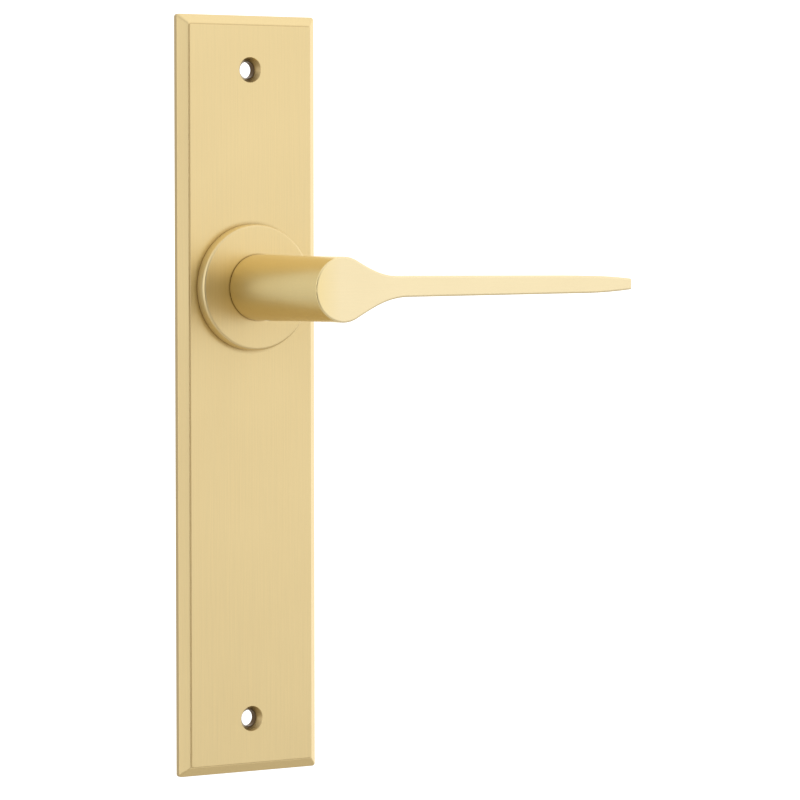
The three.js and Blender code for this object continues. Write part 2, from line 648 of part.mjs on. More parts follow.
/** Spring washer with three waves round it, which takes up the lever's end play. */
function waveWasher() {
  const waves = 3;
  const inner = WASHER_BORE_RADIUS;
  const outer = BUSH_FLANGE_RADIUS - 0.6;
  const ring = new THREE.LatheGeometry([
    new THREE.Vector2(inner, WAVE_WASHER_FRONT),
    new THREE.Vector2(outer, WAVE_WASHER_FRONT),
    new THREE.Vector2(outer, WAVE_WASHER_BACK),
    new THREE.Vector2(inner, WAVE_WASHER_BACK),
    new THREE.Vector2(inner, WAVE_WASHER_FRONT),
  ], LARGE_ROUND);
  const place = ring.attributes.position;
  for (let k = 0; k < place.count; k += 1) {
    const angle = Math.atan2(place.getZ(k), place.getX(k));
    place.setY(k, place.getY(k) + WAVE_HEIGHT * Math.sin(waves * angle));
  }
  return solid(ring);
}

/** Retaining ring in the spigot's groove: an open ring with an eye at each end. */
function circlip() {
  const inner = SPIGOT_RADIUS - GROOVE_DEPTH + RUNNING_CLEARANCE;
  const outer = inner + CIRCLIP_WIDTH;
  const eyeCircle = inner + CIRCLIP_EYE_RADIUS + RUNNING_CLEARANCE;
  const eyeAngle = CIRCLIP_HALF_GAP + 4;
  const [cutFront, cutBack] = [CIRCLIP_FRONT - OVERRUN, CIRCLIP_BACK + OVERRUN];
  const ring = tube(inner, outer, CIRCLIP_FRONT, CIRCLIP_BACK, LARGE_ROUND);
  const gap = new THREE.Shape();
  const gapEnd = (side) => around(2 * outer, -90 + side * CIRCLIP_HALF_GAP, 0);
  gap.moveTo(0, 0);
  gap.lineTo(gapEnd(-1).x, gapEnd(-1).z);
  gap.lineTo(gapEnd(1).x, gapEnd(1).z);
  gap.closePath();
  const eyes = [];
  const holes = [pressed(gap, cutFront, cutBack)];
  for (const side of [-1, 1]) {
    const place = around(eyeCircle, -90 + side * eyeAngle, 0);
    const eye = disc(CIRCLIP_EYE_RADIUS, CIRCLIP_FRONT, CIRCLIP_BACK, SMALL_ROUND);
    const hole = disc(CIRCLIP_EYE_RADIUS / 2.5, cutFront, cutBack, SMALL_ROUND / 2);
    eyes.push(moved(eye, place));
    holes.push(moved(hole, place));
  }
  return joined([ring, ...eyes]).subtract(joined(holes));
}

// ---------------------------------------------------------------- the assembly

function piece(name, body, finish) {
  const mesh = new THREE.Mesh(geometryOf(body), finish());
  mesh.name = name;
  return mesh;
}

/** Everything that stays still on the door. */
function fixedSet() {
  const group = new THREE.Group();
  group.add(piece('backplate', backplate(), satinBrass));
  group.add(piece('rose', rose(), satinBrass));
  group.add(piece('cover_plate', coverPlate(), zincSteel));
  group.add(piece('neck_bush', flangedBush(ROSE_FRONT + TOUCH_GAP, CAVITY_FRONT), naturalNylon));
  group.add(piece('rear_bush', flangedBush(COVER_FRONT, REAR_BUSH_FLANGE_FRONT), naturalNylon));
  for (const [name, angle] of Object.entries(PINS)) {
    const dowel = piece(name, pin(), zincSteel);
    dowel.position.copy(around(PIN_CIRCLE, angle, 0));
    group.add(dowel);
  }
  for (let index = 0; index < COVER_SCREW_COUNT; index += 1) {
    const screw = piece(`cover_screw_${index + 1}`, coverScrew(), zincSteel);
    screw.position.copy(around(COVER_SCREW_CIRCLE, coverScrewAngle(index), 0));
    group.add(screw);
  }
  return group;
}

/** Everything that turns with the lever. */
function turningSet() {
  const group = new THREE.Group();
  group.add(piece('lever', lever(), satinBrass));
  group.add(piece('spindle', spindle(), zincSteel));
  group.add(piece('spring_driver', springDriver(), castZinc));
  group.add(piece('return_spring', returnSpring(), springSteel));
  group.add(piece('thrust_washer', thrustWasher(), zincSteel));
  group.add(piece('wave_washer', waveWasher(), springSteel));
  group.add(piece('circlip', circlip(), blackSteel));
  const grub = piece('lever_grub_screw', grubScrew(), blackSteel);
  grub.rotation.x = Math.PI / 2;
  grub.position.set(0, -GRUB_SETBACK, -SPINDLE_SIZE / 2 - GRUB_TIP_GAP - GRUB_LENGTH);
  group.add(grub);
  return group;
}

const handle = new THREE.Group();
handle.add(fixedSet());
handle.add(turningSet());

export default handle;
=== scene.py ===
"""Looks of a satin brass lever handle on a long backplate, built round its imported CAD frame.

Metres, +Z up, +Y into the door, +X along the lever. Places and sizes come from the CAD nodes'
boxes; the constants below hold only what those boxes don't say.
"""

import json
import math

import bmesh
import bpy
import numpy as np
from mathutils import Matrix, Vector


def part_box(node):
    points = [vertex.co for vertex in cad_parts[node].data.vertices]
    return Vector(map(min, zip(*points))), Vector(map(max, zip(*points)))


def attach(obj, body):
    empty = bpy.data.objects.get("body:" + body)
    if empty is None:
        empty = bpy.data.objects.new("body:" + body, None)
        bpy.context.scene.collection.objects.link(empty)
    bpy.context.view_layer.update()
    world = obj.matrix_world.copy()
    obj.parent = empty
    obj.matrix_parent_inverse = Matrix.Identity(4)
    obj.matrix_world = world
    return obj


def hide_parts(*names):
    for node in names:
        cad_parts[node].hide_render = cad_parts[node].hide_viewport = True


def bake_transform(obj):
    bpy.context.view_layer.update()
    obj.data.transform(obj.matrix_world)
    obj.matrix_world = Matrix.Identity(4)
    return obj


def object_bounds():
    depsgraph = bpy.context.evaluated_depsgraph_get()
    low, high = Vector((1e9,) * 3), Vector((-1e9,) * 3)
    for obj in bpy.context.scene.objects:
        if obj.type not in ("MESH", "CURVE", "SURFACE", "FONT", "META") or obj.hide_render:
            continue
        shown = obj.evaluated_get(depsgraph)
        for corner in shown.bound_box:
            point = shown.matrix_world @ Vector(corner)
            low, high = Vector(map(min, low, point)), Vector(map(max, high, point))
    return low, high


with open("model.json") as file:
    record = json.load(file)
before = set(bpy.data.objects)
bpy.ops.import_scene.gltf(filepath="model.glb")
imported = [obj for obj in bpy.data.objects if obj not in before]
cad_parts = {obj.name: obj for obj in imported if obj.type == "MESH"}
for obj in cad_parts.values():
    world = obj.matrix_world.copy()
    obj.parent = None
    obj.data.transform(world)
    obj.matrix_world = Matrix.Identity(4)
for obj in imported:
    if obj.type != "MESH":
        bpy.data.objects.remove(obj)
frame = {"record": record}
cad_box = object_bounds()

MM = 0.001

# How far a cutter runs past the metal it cuts
PAST = 1 * MM

# Backplate
BORDER_WIDTH = 3.05 * MM
BORDER_RISE = 2.3 * MM
PANEL_STEP = 0.4 * MM
PLATE_CORNER = 1.0 * MM
PANEL_CORNER = 0.3 * MM
PLATE_BACK_EDGE = 0.15 * MM
PLATE_SIDE_EDGE = 0.45 * MM
STEP_FOOT = 0.3 * MM
STEP_LEAN = 0.12 * MM
STEP_LIP = 0.09 * MM
FIXING_INSET = 17 * MM
FIXING_RADIUS = 2.6 * MM
COUNTERSINK_RADIUS = 3.95 * MM
COUNTERSINK_DEPTH = 2.1 * MM

# Rose and spring set
ROSE_WALL = 1.3 * MM
LIP_WALL = 0.6 * MM
ROSE_EDGE = 0.85 * MM
CAVITY_RADIUS = 15.4 * MM
FIT_CLEARANCE = 0.15 * MM
COVER_SCREW_RADIUS = 0.85 * MM
COVER_SCREW_GAP = 0.3 * MM
PIN_CIRCLE = 13.7 * MM
PIN_RADIUS = 1.5 * MM
PIN_SEAT_RADIUS = 1.65 * MM
BUSH_BORE = 7.6 * MM
BUSH_WALL = 1.25 * MM
FLANGE_WIDTH = 1.75 * MM
FLANGE_THICKNESS = 0.6 * MM
SPRING_WIRE = 0.65 * MM
SPRING_LEG_GAP = 0.2 * MM
WAVE_HEIGHT = 0.2 * MM
PINS = ("rest_stop_pin", "travel_stop_pin", "spring_anchor_pin")
COVER_SCREWS = tuple(f"cover_screw_{k}" for k in (1, 2, 3, 4))

# Lever, as seen from the front
PINCH_ANGLE = math.radians(62)
PINCH_PULL = 8 * MM
ROOT_PULL = 7 * MM
ROOT_SPREAD = 0.1 * MM
TIP_BOW = 0.15 * MM
BLADE_ROOT_X = 22.5 * MM
BLADE_ROOT_HALF_HEIGHT = 3.2 * MM
BLADE_SHOULDER_X = 92 * MM
BLADE_SHOULDER_HALF_HEIGHT = 2.72 * MM
BLADE_TIP_HALF_HEIGHT = 1.7 * MM
BLADE_RISE = 0.7 * MM
BLADE_ROOT_DEPTH = 18 * MM
BLADE_TIP_DEPTH = 15 * MM
TIP_BACK_CORNER = 3.2 * MM
FRONT_EDGE = 0.42 * MM
BACK_EDGE = 1.1 * MM
WEB_FILLET = 2.5 * MM
SPIGOT_RADIUS = 7.5 * MM
SPIGOT_FLAT = 6.4 * MM
GROOVE_DEPTH = 0.6 * MM
SOCKET_SIZE = 8.2 * MM
SOCKET_DEPTH = 39 * MM
GRUB_RADIUS = 2.5 * MM
NECK_RADIUS = 10 * MM
NECK_GAP = 0.06 * MM
NECK_BACK_EDGE = 0.12 * MM
NECK_BASE_RADIUS = 10.3 * MM
NECK_FLARE_START, NECK_FLARE_END = -36 * MM, -14 * MM
# The lever's front stands back by this much, so that rounding can't carry it past its CAD box
FRONT_SETBACK = 0.001 * MM

# Camera, as the photograph was taken
CAMERA_YAW = math.radians(33.45)
CAMERA_PITCH = math.radians(2.545)
CAMERA_ROLL = math.radians(-0.057)
CAMERA_TARGET = Vector((58.65, 0, -36.90)) * MM
CAMERA_DISTANCE = 1323.8 * MM
CAMERA_LENS = 185.34
CAMERA_SENSOR_WIDTH = 36


# ---------------------------------------------------------------- mesh helpers


def box_of(node):
    """A CAD node's lowest corner, highest corner and centre."""
    low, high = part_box(node)
    return low, high, (low + high) / 2


def made_object(name, vertices, faces, sharp_degrees=32):
    """A mesh object with outward faces, smooth except where faces meet sharply."""
    mesh = bpy.data.meshes.new(name)
    mesh.from_pydata([tuple(v) for v in vertices], [], [tuple(f) for f in faces])
    made = bpy.data.objects.new(name, mesh)
    bpy.context.scene.collection.objects.link(made)
    tidy_normals(made, sharp_degrees)
    return made


def tidy_normals(made, sharp_degrees=32):
    """Welds a mesh, turns its faces outward and marks the edges that stay sharp."""
    work = bmesh.new()
    work.from_mesh(made.data)
    bmesh.ops.remove_doubles(work, verts=work.verts, dist=1e-7)
    bmesh.ops.recalc_face_normals(work, faces=work.faces)
    limit = math.radians(sharp_degrees)
    for edge in work.edges:
        edge.smooth = len(edge.link_faces) == 2 and edge.calc_face_angle(0) < limit
    for face in work.faces:
        face.smooth = True
    work.to_mesh(made.data)
    work.free()


def weigh_normals(made):
    """Lets each large flat face keep its own normal, so that only the rounded edges shade round."""
    weighted = made.modifiers.new("weighted", "WEIGHTED_NORMAL")
    weighted.keep_sharp = True
    weighted.weight = 80


def applied(made):
    """Turns a piece and its modifiers into one plain mesh."""
    bpy.context.view_layer.update()
    graph = bpy.context.evaluated_depsgraph_get()
    mesh = bpy.data.meshes.new_from_object(made.evaluated_get(graph))
    made.modifiers.clear()
    made.data = mesh


def combined(made, others, operation):
    """Joins other pieces to this one, or cuts them out of it, and deletes them."""
    for other in others:
        step = made.modifiers.new("boolean", "BOOLEAN")
        step.object = other
        step.operation = operation
        step.solver = "EXACT"
    applied(made)
    for other in others:
        bpy.data.objects.remove(other)
    tidy_normals(made)
    return made


def cut(made, tools):
    """Takes the tools away from a piece."""
    return combined(made, tools, "DIFFERENCE")


def bevelled(made, width, segments=3):
    """Rounds every edge of a piece that is sharper than a shallow bend."""
    bevel = made.modifiers.new("bevel", "BEVEL")
    bevel.width = width
    bevel.segments = segments
    bevel.limit_method = "ANGLE"
    bevel.angle_limit = math.radians(35)
    applied(made)
    tidy_normals(made, 40)
    return made


def softened(corners, closed=True, steps=4):
    """Corners (u, v, radius) as a list of points, with an arc of that radius at each corner."""
    points = []
    count = len(corners)
    for k, (u, v, radius) in enumerate(corners):
        here = Vector((u, v))
        if radius == 0 or (not closed and k in (0, count - 1)):
            points.append(here)
            continue
        before = (Vector(corners[k - 1][:2]) - here).normalized()
        after = (Vector(corners[(k + 1) % count][:2]) - here).normalized()
        half = before.angle(after) / 2
        centre = here + (before + after).normalized() * radius / math.sin(half)
        start = here + before * radius / math.tan(half) - centre
        end = here + after * radius / math.tan(half) - centre
        sweep = math.pi - 2 * half
        for s in range(steps + 1):
            t = s / steps
            blend = start * math.sin((1 - t) * sweep) + end * math.sin(t * sweep)
            points.append(centre + blend / math.sin(sweep))
    return points


def revolved(name, corners, sides=96, steps=4):
    """A profile of (radius, y, corner radius), turned about the lever's axis."""
    on_axis = corners[0][0] == 0
    profile = softened(corners, closed=not on_axis, steps=steps)
    vertices, rings = [], []
    for radius, y in profile:
        count = 1 if radius < 1e-9 else sides
        rings.append([len(vertices) + k for k in range(count)])
        for k in range(count):
            angle = 2 * math.pi * k / sides
            vertices.append((radius * math.cos(angle), y, radius * math.sin(angle)))
    pairs = list(zip(rings, rings[1:]))
    if not on_axis:
        pairs.append((rings[-1], rings[0]))
    faces = []
    for a, b in pairs:
        for k in range(sides):
            face = [a[k % len(a)], a[(k + 1) % len(a)], b[(k + 1) % len(b)], b[k % len(b)]]
            faces.append(list(dict.fromkeys(face)))
    return made_object(name, vertices, [f for f in faces if len(f) > 2])


def round_bar(name, radius, front, back, centre=(0, 0), edge=0.0, sides=48):
    """A plain round bar along Y, with softened ends."""
    bar = revolved(name, [(0, front, 0), (radius, front, edge), (radius, back, edge), (0, back, 0)], sides)
    shift(bar, (centre[0], 0, centre[1]))
    return bar


def shift(made, offset):
    """Moves a piece within its own coordinates, so that the object stays at the origin."""
    made.data.transform(Matrix.Translation(Vector(offset)))
    return made


def rounded_rectangle(width, height, radius, steps=6):
    """Points round a rectangle centred on the origin, in X and Z, anticlockwise."""
    points = []
    for k, (side_x, side_z) in enumerate(((1, -1), (1, 1), (-1, 1), (-1, -1))):
        centre = Vector((side_x * (width / 2 - radius), side_z * (height / 2 - radius)))
        for s in range(steps + 1):
            angle = math.pi / 2 * (k - 1 + s / steps)
            points.append(centre + radius * Vector((math.cos(angle), math.sin(angle))))
    return points


def lofted(name, loops):
    """Skins a row of loops that all have the same number of points, and caps both ends."""
    count = len(loops[0])
    vertices = [point for loop in loops for point in loop]
    faces = [list(range(count)), list(range(len(vertices) - count, len(vertices)))]
    for row in range(len(loops) - 1):
        for k in range(count):
            a, b = row * count + k, row * count + (k + 1) % count
            faces.append([a, b, b + count, a + count])
    return made_object(name, vertices, faces)


def bar_along_y(name, width, height, front, back, edge, corner):
    """A rectangular bar with rounded long edges and chamfered ends."""
    loops = []
    for y, inset in ((front, edge), (front + edge, 0), (back - edge, 0), (back, edge)):
        outline = rounded_rectangle(width - 2 * inset, height - 2 * inset, corner)
        loops.append([(p.x, y, p.y) for p in outline])
    return lofted(name, loops)


# ---------------------------------------------------------------- pieces of the backplate set


def place_of(node):
    """Where a small round node stands round the lever's axis, as (x, z)."""
    centre = box_of(node)[2]
    return centre.x, centre.z


def build_backplate():
    """Long plate: a sloping border, a fine step up to the flat panel, and its holes."""
    low, high, centre = box_of("backplate")
    width, height = high.x - low.x, high.z - low.z
    front, back = low.y, high.y
    border_front = front + PANEL_STEP
    side_front = border_front + BORDER_RISE
    profile = softened([
        (0.0, back, PLATE_BACK_EDGE),
        (0.0, side_front, PLATE_SIDE_EDGE),
        (BORDER_WIDTH - STEP_FOOT, border_front, 0.2 * MM),
        (BORDER_WIDTH, border_front, 0.05 * MM),
        (BORDER_WIDTH + STEP_LEAN, front, STEP_LIP),
        (BORDER_WIDTH + 2 * MM, front, 0),
    ], closed=False)
    profile.insert(0, Vector((PLATE_BACK_EDGE, back)))
    profile[1] = Vector((0.0, back - PLATE_BACK_EDGE))
    loops = []
    for inset, y in profile:
        share = min(1, inset / BORDER_WIDTH)
        corner = PLATE_CORNER + (PANEL_CORNER - PLATE_CORNER) * share
        outline = rounded_rectangle(width - 2 * inset, height - 2 * inset, corner)
        loops.append([(p.x + centre.x, y, p.y + centre.z) for p in outline])
    plate = lofted("backplate_body", loops)
    tools = [
        round_bar("opening", CAVITY_RADIUS + LIP_WALL + 0.2 * MM, 2 * front, PAST, sides=96),
        cover_recess(),
        fixing_hole(front, high.z - FIXING_INSET),
        fixing_hole(front, low.z + FIXING_INSET),
    ]
    for screw in COVER_SCREWS:
        radius = COVER_SCREW_RADIUS + COVER_SCREW_GAP
        tools.append(round_bar("clearance", radius, 2 * front, PAST, place_of(screw)))
    return cut(plate, tools)


def cover_recess():
    """Cutter for the shallow round seat in the plate's back that the cover lies in."""
    low, high, _ = box_of("cover_plate")
    radius = high.x + 0.3 * MM
    return round_bar("recess", radius, low.y, PAST, sides=128)


def fixing_hole(front, z):
    """Cutter for a countersunk screw hole whose mouth is slightly rounded over."""
    mouth = 0.1 * MM
    tool = revolved("fixing_hole", [
        (0, front - PAST, 0),
        (COUNTERSINK_RADIUS + mouth / 2, front - PAST, 0),
        (COUNTERSINK_RADIUS + mouth / 2, front, 0),
        (COUNTERSINK_RADIUS - mouth / 2, front + mouth, mouth),
        (FIXING_RADIUS, front + COUNTERSINK_DEPTH, 0.15 * MM),
        (FIXING_RADIUS, PAST, 0),
        (0, PAST, 0),
    ], sides=72)
    return shift(tool, (0, 0, z))


def build_rose():
    """Round collar, hollow at the back for the spring set, with a lip that centres it in the plate."""
    low, high, _ = box_of("rose")
    plate_front = box_of("backplate")[0].y
    radius = high.x
    bore = box_of("neck_bush")[1].x - FLANGE_WIDTH
    cavity_front = low.y + ROSE_WALL
    lip = CAVITY_RADIUS + LIP_WALL
    rose = revolved("rose_collar", [
        (bore, low.y, 0.1 * MM),
        (radius, low.y, ROSE_EDGE),
        (radius, plate_front, 0.12 * MM),
        (lip, plate_front, 0),
        (lip, high.y, 0.15 * MM),
        (CAVITY_RADIUS, high.y, 0.15 * MM),
        (CAVITY_RADIUS, cavity_front, 0.3 * MM),
        (bore, cavity_front, 0.1 * MM),
    ], sides=160)
    tools = []
    for node in PINS:
        seat = box_of(node)[0].y - 0.1 * MM
        tools.append(round_bar("seat", PIN_SEAT_RADIUS, seat, PAST, place_of(node)))
    for node in COVER_SCREWS:
        seat = box_of(node)[0].y - 0.3 * MM
        tools.append(round_bar("pilot", COVER_SCREW_RADIUS + FIT_CLEARANCE, seat, PAST, place_of(node)))
    return cut(rose, tools)


def build_cover():
    """Round plate that closes the spring set at the back, with seats for its pins and screws."""
    low, high, _ = box_of("cover_plate")
    bore = box_of("rear_bush")[1].x - FLANGE_WIDTH
    cover = revolved("cover_plate_disc", [
        (bore, low.y, 0.1 * MM),
        (high.x, low.y, 0.15 * MM),
        (high.x, high.y, 0.15 * MM),
        (bore, high.y, 0.1 * MM),
    ], sides=128)
    tools = [round_bar("seat", PIN_SEAT_RADIUS, 2 * low.y, PAST, place_of(node)) for node in PINS]
    for node in COVER_SCREWS:
        tool = revolved("countersink", [
            (0, 2 * low.y, 0),
            (COVER_SCREW_RADIUS + COVER_SCREW_GAP, 2 * low.y, 0),
            (COVER_SCREW_RADIUS + COVER_SCREW_GAP, low.y + 0.1 * MM, 0),
            (2.3 * MM, high.y, 0),
            (2.3 * MM, PAST, 0),
            (0, PAST, 0),
        ], sides=48)
        x, z = place_of(node)
        tools.append(shift(tool, (x, 0, z)))
    return cut(cover, tools)


def build_bush(node):
    """Flanged nylon bearing round the spigot."""
    low, high, _ = box_of(node)
    bore = BUSH_BORE
    outer = bore + BUSH_WALL
    flange_front = high.y - FLANGE_THICKNESS
    return revolved(node + "_moulding", [
        (bore, low.y, 0.12 * MM),
        (outer, low.y, 0.2 * MM),
        (outer, flange_front, 0.06 * MM),
        (high.x, flange_front, 0.12 * MM),
        (high.x, high.y, 0.12 * MM),
        (bore, high.y, 0.12 * MM),
    ])


def build_pin(node):
    """Plain steel dowel from the rose to the cover."""
    low, high, _ = box_of(node)
    return round_bar(node + "_dowel", (high.x - low.x) / 2, low.y, high.y, place_of(node), 0.2 * MM)


def thread(radius, front, back, pitch, depth):
    """Profile corners of a row of thread crests, from front to back."""
    count = int((back - front) / pitch)
    corners = []
    for k in range(count):
        root = front + k * pitch
        corners.append((radius - depth, root, 0))
        corners.append((radius, root + pitch / 2, 0.03 * MM))
    return corners


def cross_recess(y, size, width, depth):
    """Cutter for a cross recess in a screw head that faces the back."""
    bars = [
        bar_along_y("recess", size, width, y - depth, y + PAST, 0.05 * MM, 0.1 * MM),
        bar_along_y("recess", width, size, y - depth, y + PAST, 0.05 * MM, 0.1 * MM),
    ]
    return combined(bars[0], bars[1:], "UNION")


def build_cover_screw(node):
    """Countersunk machine screw with a cross recess, its head at the back."""
    low, high, _ = box_of(node)
    head = (high.x - low.x) / 2
    shank = COVER_SCREW_RADIUS
    shank_back = high.y - 1.5 * MM
    corners = [(0, low.y, 0), (shank - 0.35 * MM, low.y, 0.05 * MM)]
    corners += thread(shank, low.y + 0.4 * MM, shank_back, 0.45 * MM, 0.16 * MM)
    corners += [
        (shank - 0.1 * MM, shank_back, 0),
        (shank - 0.1 * MM, high.y - 1.05 * MM, 0),
        (head, high.y - 0.12 * MM, 0.08 * MM),
        (head - 0.1 * MM, high.y, 0.1 * MM),
        (0, high.y, 0),
    ]
    screw = revolved(node + "_body", corners, sides=40, steps=3)
    cut(screw, [cross_recess(high.y, 2.4 * MM, 0.5 * MM, 0.6 * MM)])
    x, z = place_of(node)
    return shift(screw, (x, 0, z))


# ---------------------------------------------------------------- the lever's casting, as a distance field


def bezier(start, pull_start, pull_end, end, steps=24):
    """Points along a cubic curve between two ends."""
    t = np.linspace(0, 1, steps + 1)[:, None]
    a, b, c, d = (np.array(p) for p in (start, pull_start, pull_end, end))
    return (1 - t) ** 3 * a + 3 * (1 - t) ** 2 * t * b + 3 * (1 - t) * t ** 2 * c + t ** 3 * d


def blade_front_outline(reach):
    """The pinched blade from the front, from inside the neck to past the tip, in X and Z."""
    tangent = np.array((math.sin(PINCH_ANGLE), -math.cos(PINCH_ANGLE)))
    leave = NECK_RADIUS * np.array((math.cos(PINCH_ANGLE), math.sin(PINCH_ANGLE)))
    sides = []
    for side in (1, -1):
        flip = np.array((1, side))
        root = (BLADE_ROOT_X, BLADE_RISE + side * BLADE_ROOT_HALF_HEIGHT)
        spread = side * (BLADE_ROOT_HALF_HEIGHT + ROOT_SPREAD)
        arrive = (BLADE_ROOT_X - ROOT_PULL, BLADE_RISE / 2 + spread)
        pinch = bezier(flip * leave, flip * (leave + PINCH_PULL * tangent), arrive, root)
        shoulder = np.array((BLADE_SHOULDER_X, BLADE_RISE + side * BLADE_SHOULDER_HALF_HEIGHT))
        tip = np.array((reach, BLADE_RISE + side * BLADE_TIP_HALF_HEIGHT))
        bend = np.array(((BLADE_SHOULDER_X + reach) / 2, shoulder[1] - side * TIP_BOW))
        closing = bezier(shoulder, (shoulder + 2 * bend) / 3, (tip + 2 * bend) / 3, tip)
        past = tip + (tip - closing[-2])
        circle = [(NECK_RADIUS * math.cos(a), side * NECK_RADIUS * math.sin(a))
                  for a in np.linspace(math.radians(80), PINCH_ANGLE, 12)]
        sides.append(np.vstack([circle[:-1], pinch, closing, [past]]))
    return np.vstack([sides[0], sides[1][::-1]])


def blade_plan_outline(front, reach):
    """The blade from above: its flat front, its tip and its back edge that sweeps into the neck."""
    root_back, tip_back = front + BLADE_ROOT_DEPTH, front + BLADE_TIP_DEPTH
    tip = softened([
        (0.0, front, 0),
        (reach, front, FRONT_EDGE),
        (reach, tip_back, TIP_BACK_CORNER),
        (1.2 * BLADE_ROOT_X, root_back, 0),
    ], closed=False, steps=8)
    sweep = bezier(
        (1.2 * BLADE_ROOT_X, root_back),
        (0.62 * BLADE_ROOT_X, root_back),
        (0.78 * NECK_RADIUS, front + 1.35 * BLADE_ROOT_DEPTH),
        (0.65 * NECK_RADIUS, front + 2 * BLADE_ROOT_DEPTH))
    inside = [(0.0, front + 2 * BLADE_ROOT_DEPTH)]
    return np.vstack([[tuple(p) for p in tip], sweep[1:], inside])


def outline_distance(points, outline):
    """Signed distance from points to a closed outline, negative inside."""
    best = np.full(len(points), 1e9)
    crossings = np.zeros(len(points), int)
    for a, b in zip(outline, np.roll(outline, -1, axis=0)):
        along = b - a
        length = along @ along
        if length < 1e-18:
            continue
        t = np.clip(((points - a) @ along) / length, 0, 1)
        best = np.minimum(best, np.linalg.norm(points - a - t[:, None] * along, axis=1))
        if a[1] != b[1]:
            between = (points[:, 1] >= min(a[1], b[1])) & (points[:, 1] < max(a[1], b[1]))
            meets = a[0] + (points[:, 1] - a[1]) * (b[0] - a[0]) / (b[1] - a[1])
            crossings += between & (points[:, 0] < meets)
    return np.where(crossings % 2 == 1, -best, best)


def on_grid(first, second, outline):
    """An outline's signed distance at every crossing of two rows of stations."""
    u, v = np.meshgrid(first, second, indexing="ij")
    points = np.column_stack([u.ravel(), v.ravel()])
    return outline_distance(points, outline).reshape(u.shape)


def rounded_overlap(a, b, radius):
    """Where both fields are solid, with the edge between them rounded."""
    u, v = a + radius, b + radius
    return np.minimum(np.maximum(u, v), 0) + np.hypot(np.maximum(u, 0), np.maximum(v, 0)) - radius


def filleted_union(a, b, radius):
    """Where either field is solid, with the inner corner between them filled in round."""
    u, v = np.maximum(radius - a, 0), np.maximum(radius - b, 0)
    return np.maximum(radius, np.minimum(a, b)) - np.hypot(u, v)


def smooth_step(low, high, value):
    """Nought up to low, one from high on, and an even slope with soft ends between."""
    t = np.clip((value - low) / (high - low), 0, 1)
    return t * t * (3 - 2 * t)


def stations(*spans):
    """Rising places along one axis: (start, end, about this far apart) for each stretch."""
    rows = [np.linspace(a, b, max(2, round((b - a) / step) + 1))[:-1] for a, b, step in spans]
    return np.concatenate(rows + [[spans[-1][1]]])


def lever_field(xs, ys, zs, front, neck_back, reach):
    """Signed distance to the neck and blade, on a grid."""
    from_front = on_grid(xs, zs, blade_front_outline(reach))[:, None, :]
    from_above = on_grid(xs, ys, blade_plan_outline(front, reach))[:, :, None]
    edge = FRONT_EDGE + (BACK_EDGE - FRONT_EDGE) * smooth_step(front + 4 * MM, front + 10 * MM, ys)
    blade = rounded_overlap(from_front, from_above, edge[None, :, None])
    flare = smooth_step(NECK_FLARE_START, NECK_FLARE_END, ys)
    radius = NECK_RADIUS + (NECK_BASE_RADIUS - NECK_RADIUS) * flare
    radial = np.hypot(xs[:, None], zs[None, :])[:, None, :] - radius[None, :, None]
    middle, half = (front + neck_back) / 2, (neck_back - front) / 2
    along = (np.abs(ys - middle) - half)[None, :, None]
    neck_edge = np.where(ys < middle, FRONT_EDGE, NECK_BACK_EDGE)[None, :, None]
    neck = rounded_overlap(radial, along, neck_edge)
    behind = smooth_step(front + 16 * MM, front + 22 * MM, ys)[None, :, None]
    middle_height = 1 - smooth_step(0.45 * NECK_RADIUS, 0.8 * NECK_RADIUS, np.abs(zs))[None, None, :]
    fillet = WEB_FILLET * behind * middle_height + 1e-7
    return filleted_union(blade, neck, fillet)


def skin_of_field(field, axes):
    """Vertices and quads of the surface where a field on a grid is zero."""
    inside = field < 0
    cells = tuple(n - 1 for n in field.shape)
    total = np.zeros(cells + (3,))
    count = np.zeros(cells)
    edges = []
    for axis in range(3):
        first = [slice(None)] * 3
        second = [slice(None)] * 3
        first[axis], second[axis] = slice(None, -1), slice(1, None)
        f0, f1 = field[tuple(first)], field[tuple(second)]
        crosses = inside[tuple(first)] != inside[tuple(second)]
        share = np.where(crosses, f0 / np.where(crosses, f0 - f1, 1), 0)
        place = np.zeros(f0.shape + (3,))
        for other in range(3):
            shape = [1, 1, 1]
            shape[other] = -1
            if other == axis:
                start = axes[other][:-1].reshape(shape)
                place[..., other] = start + share * np.diff(axes[other]).reshape(shape)
            else:
                place[..., other] = axes[other].reshape(shape)
        place *= crosses[..., None]
        u, v = [a for a in range(3) if a != axis]
        for du in (0, 1):
            for dv in (0, 1):
                window = [slice(None)] * 3
                window[u] = slice(du, du + cells[u])
                window[v] = slice(dv, dv + cells[v])
                total += place[tuple(window)]
                count += crosses[tuple(window)]
        edges.append((axis, u, v, crosses, inside[tuple(first)]))
    used = count > 0
    number = np.full(cells, -1)
    number[used] = np.arange(used.sum())
    vertices = total[used] / count[used][:, None]
    faces = []
    for axis, u, v, crosses, starts_inside in edges:
        where = np.argwhere(crosses)
        corners = []
        for du, dv in ((1, 1), (0, 1), (0, 0), (1, 0)):
            cell = where.copy()
            cell[:, u] -= du
            cell[:, v] -= dv
            corners.append(number[tuple(cell.T)])
        quads = np.column_stack(corners)
        flip = starts_inside[tuple(where.T)] == (axis == 1)
        quads[flip] = quads[flip][:, ::-1]
        faces.append(quads)
    return vertices, np.vstack(faces)


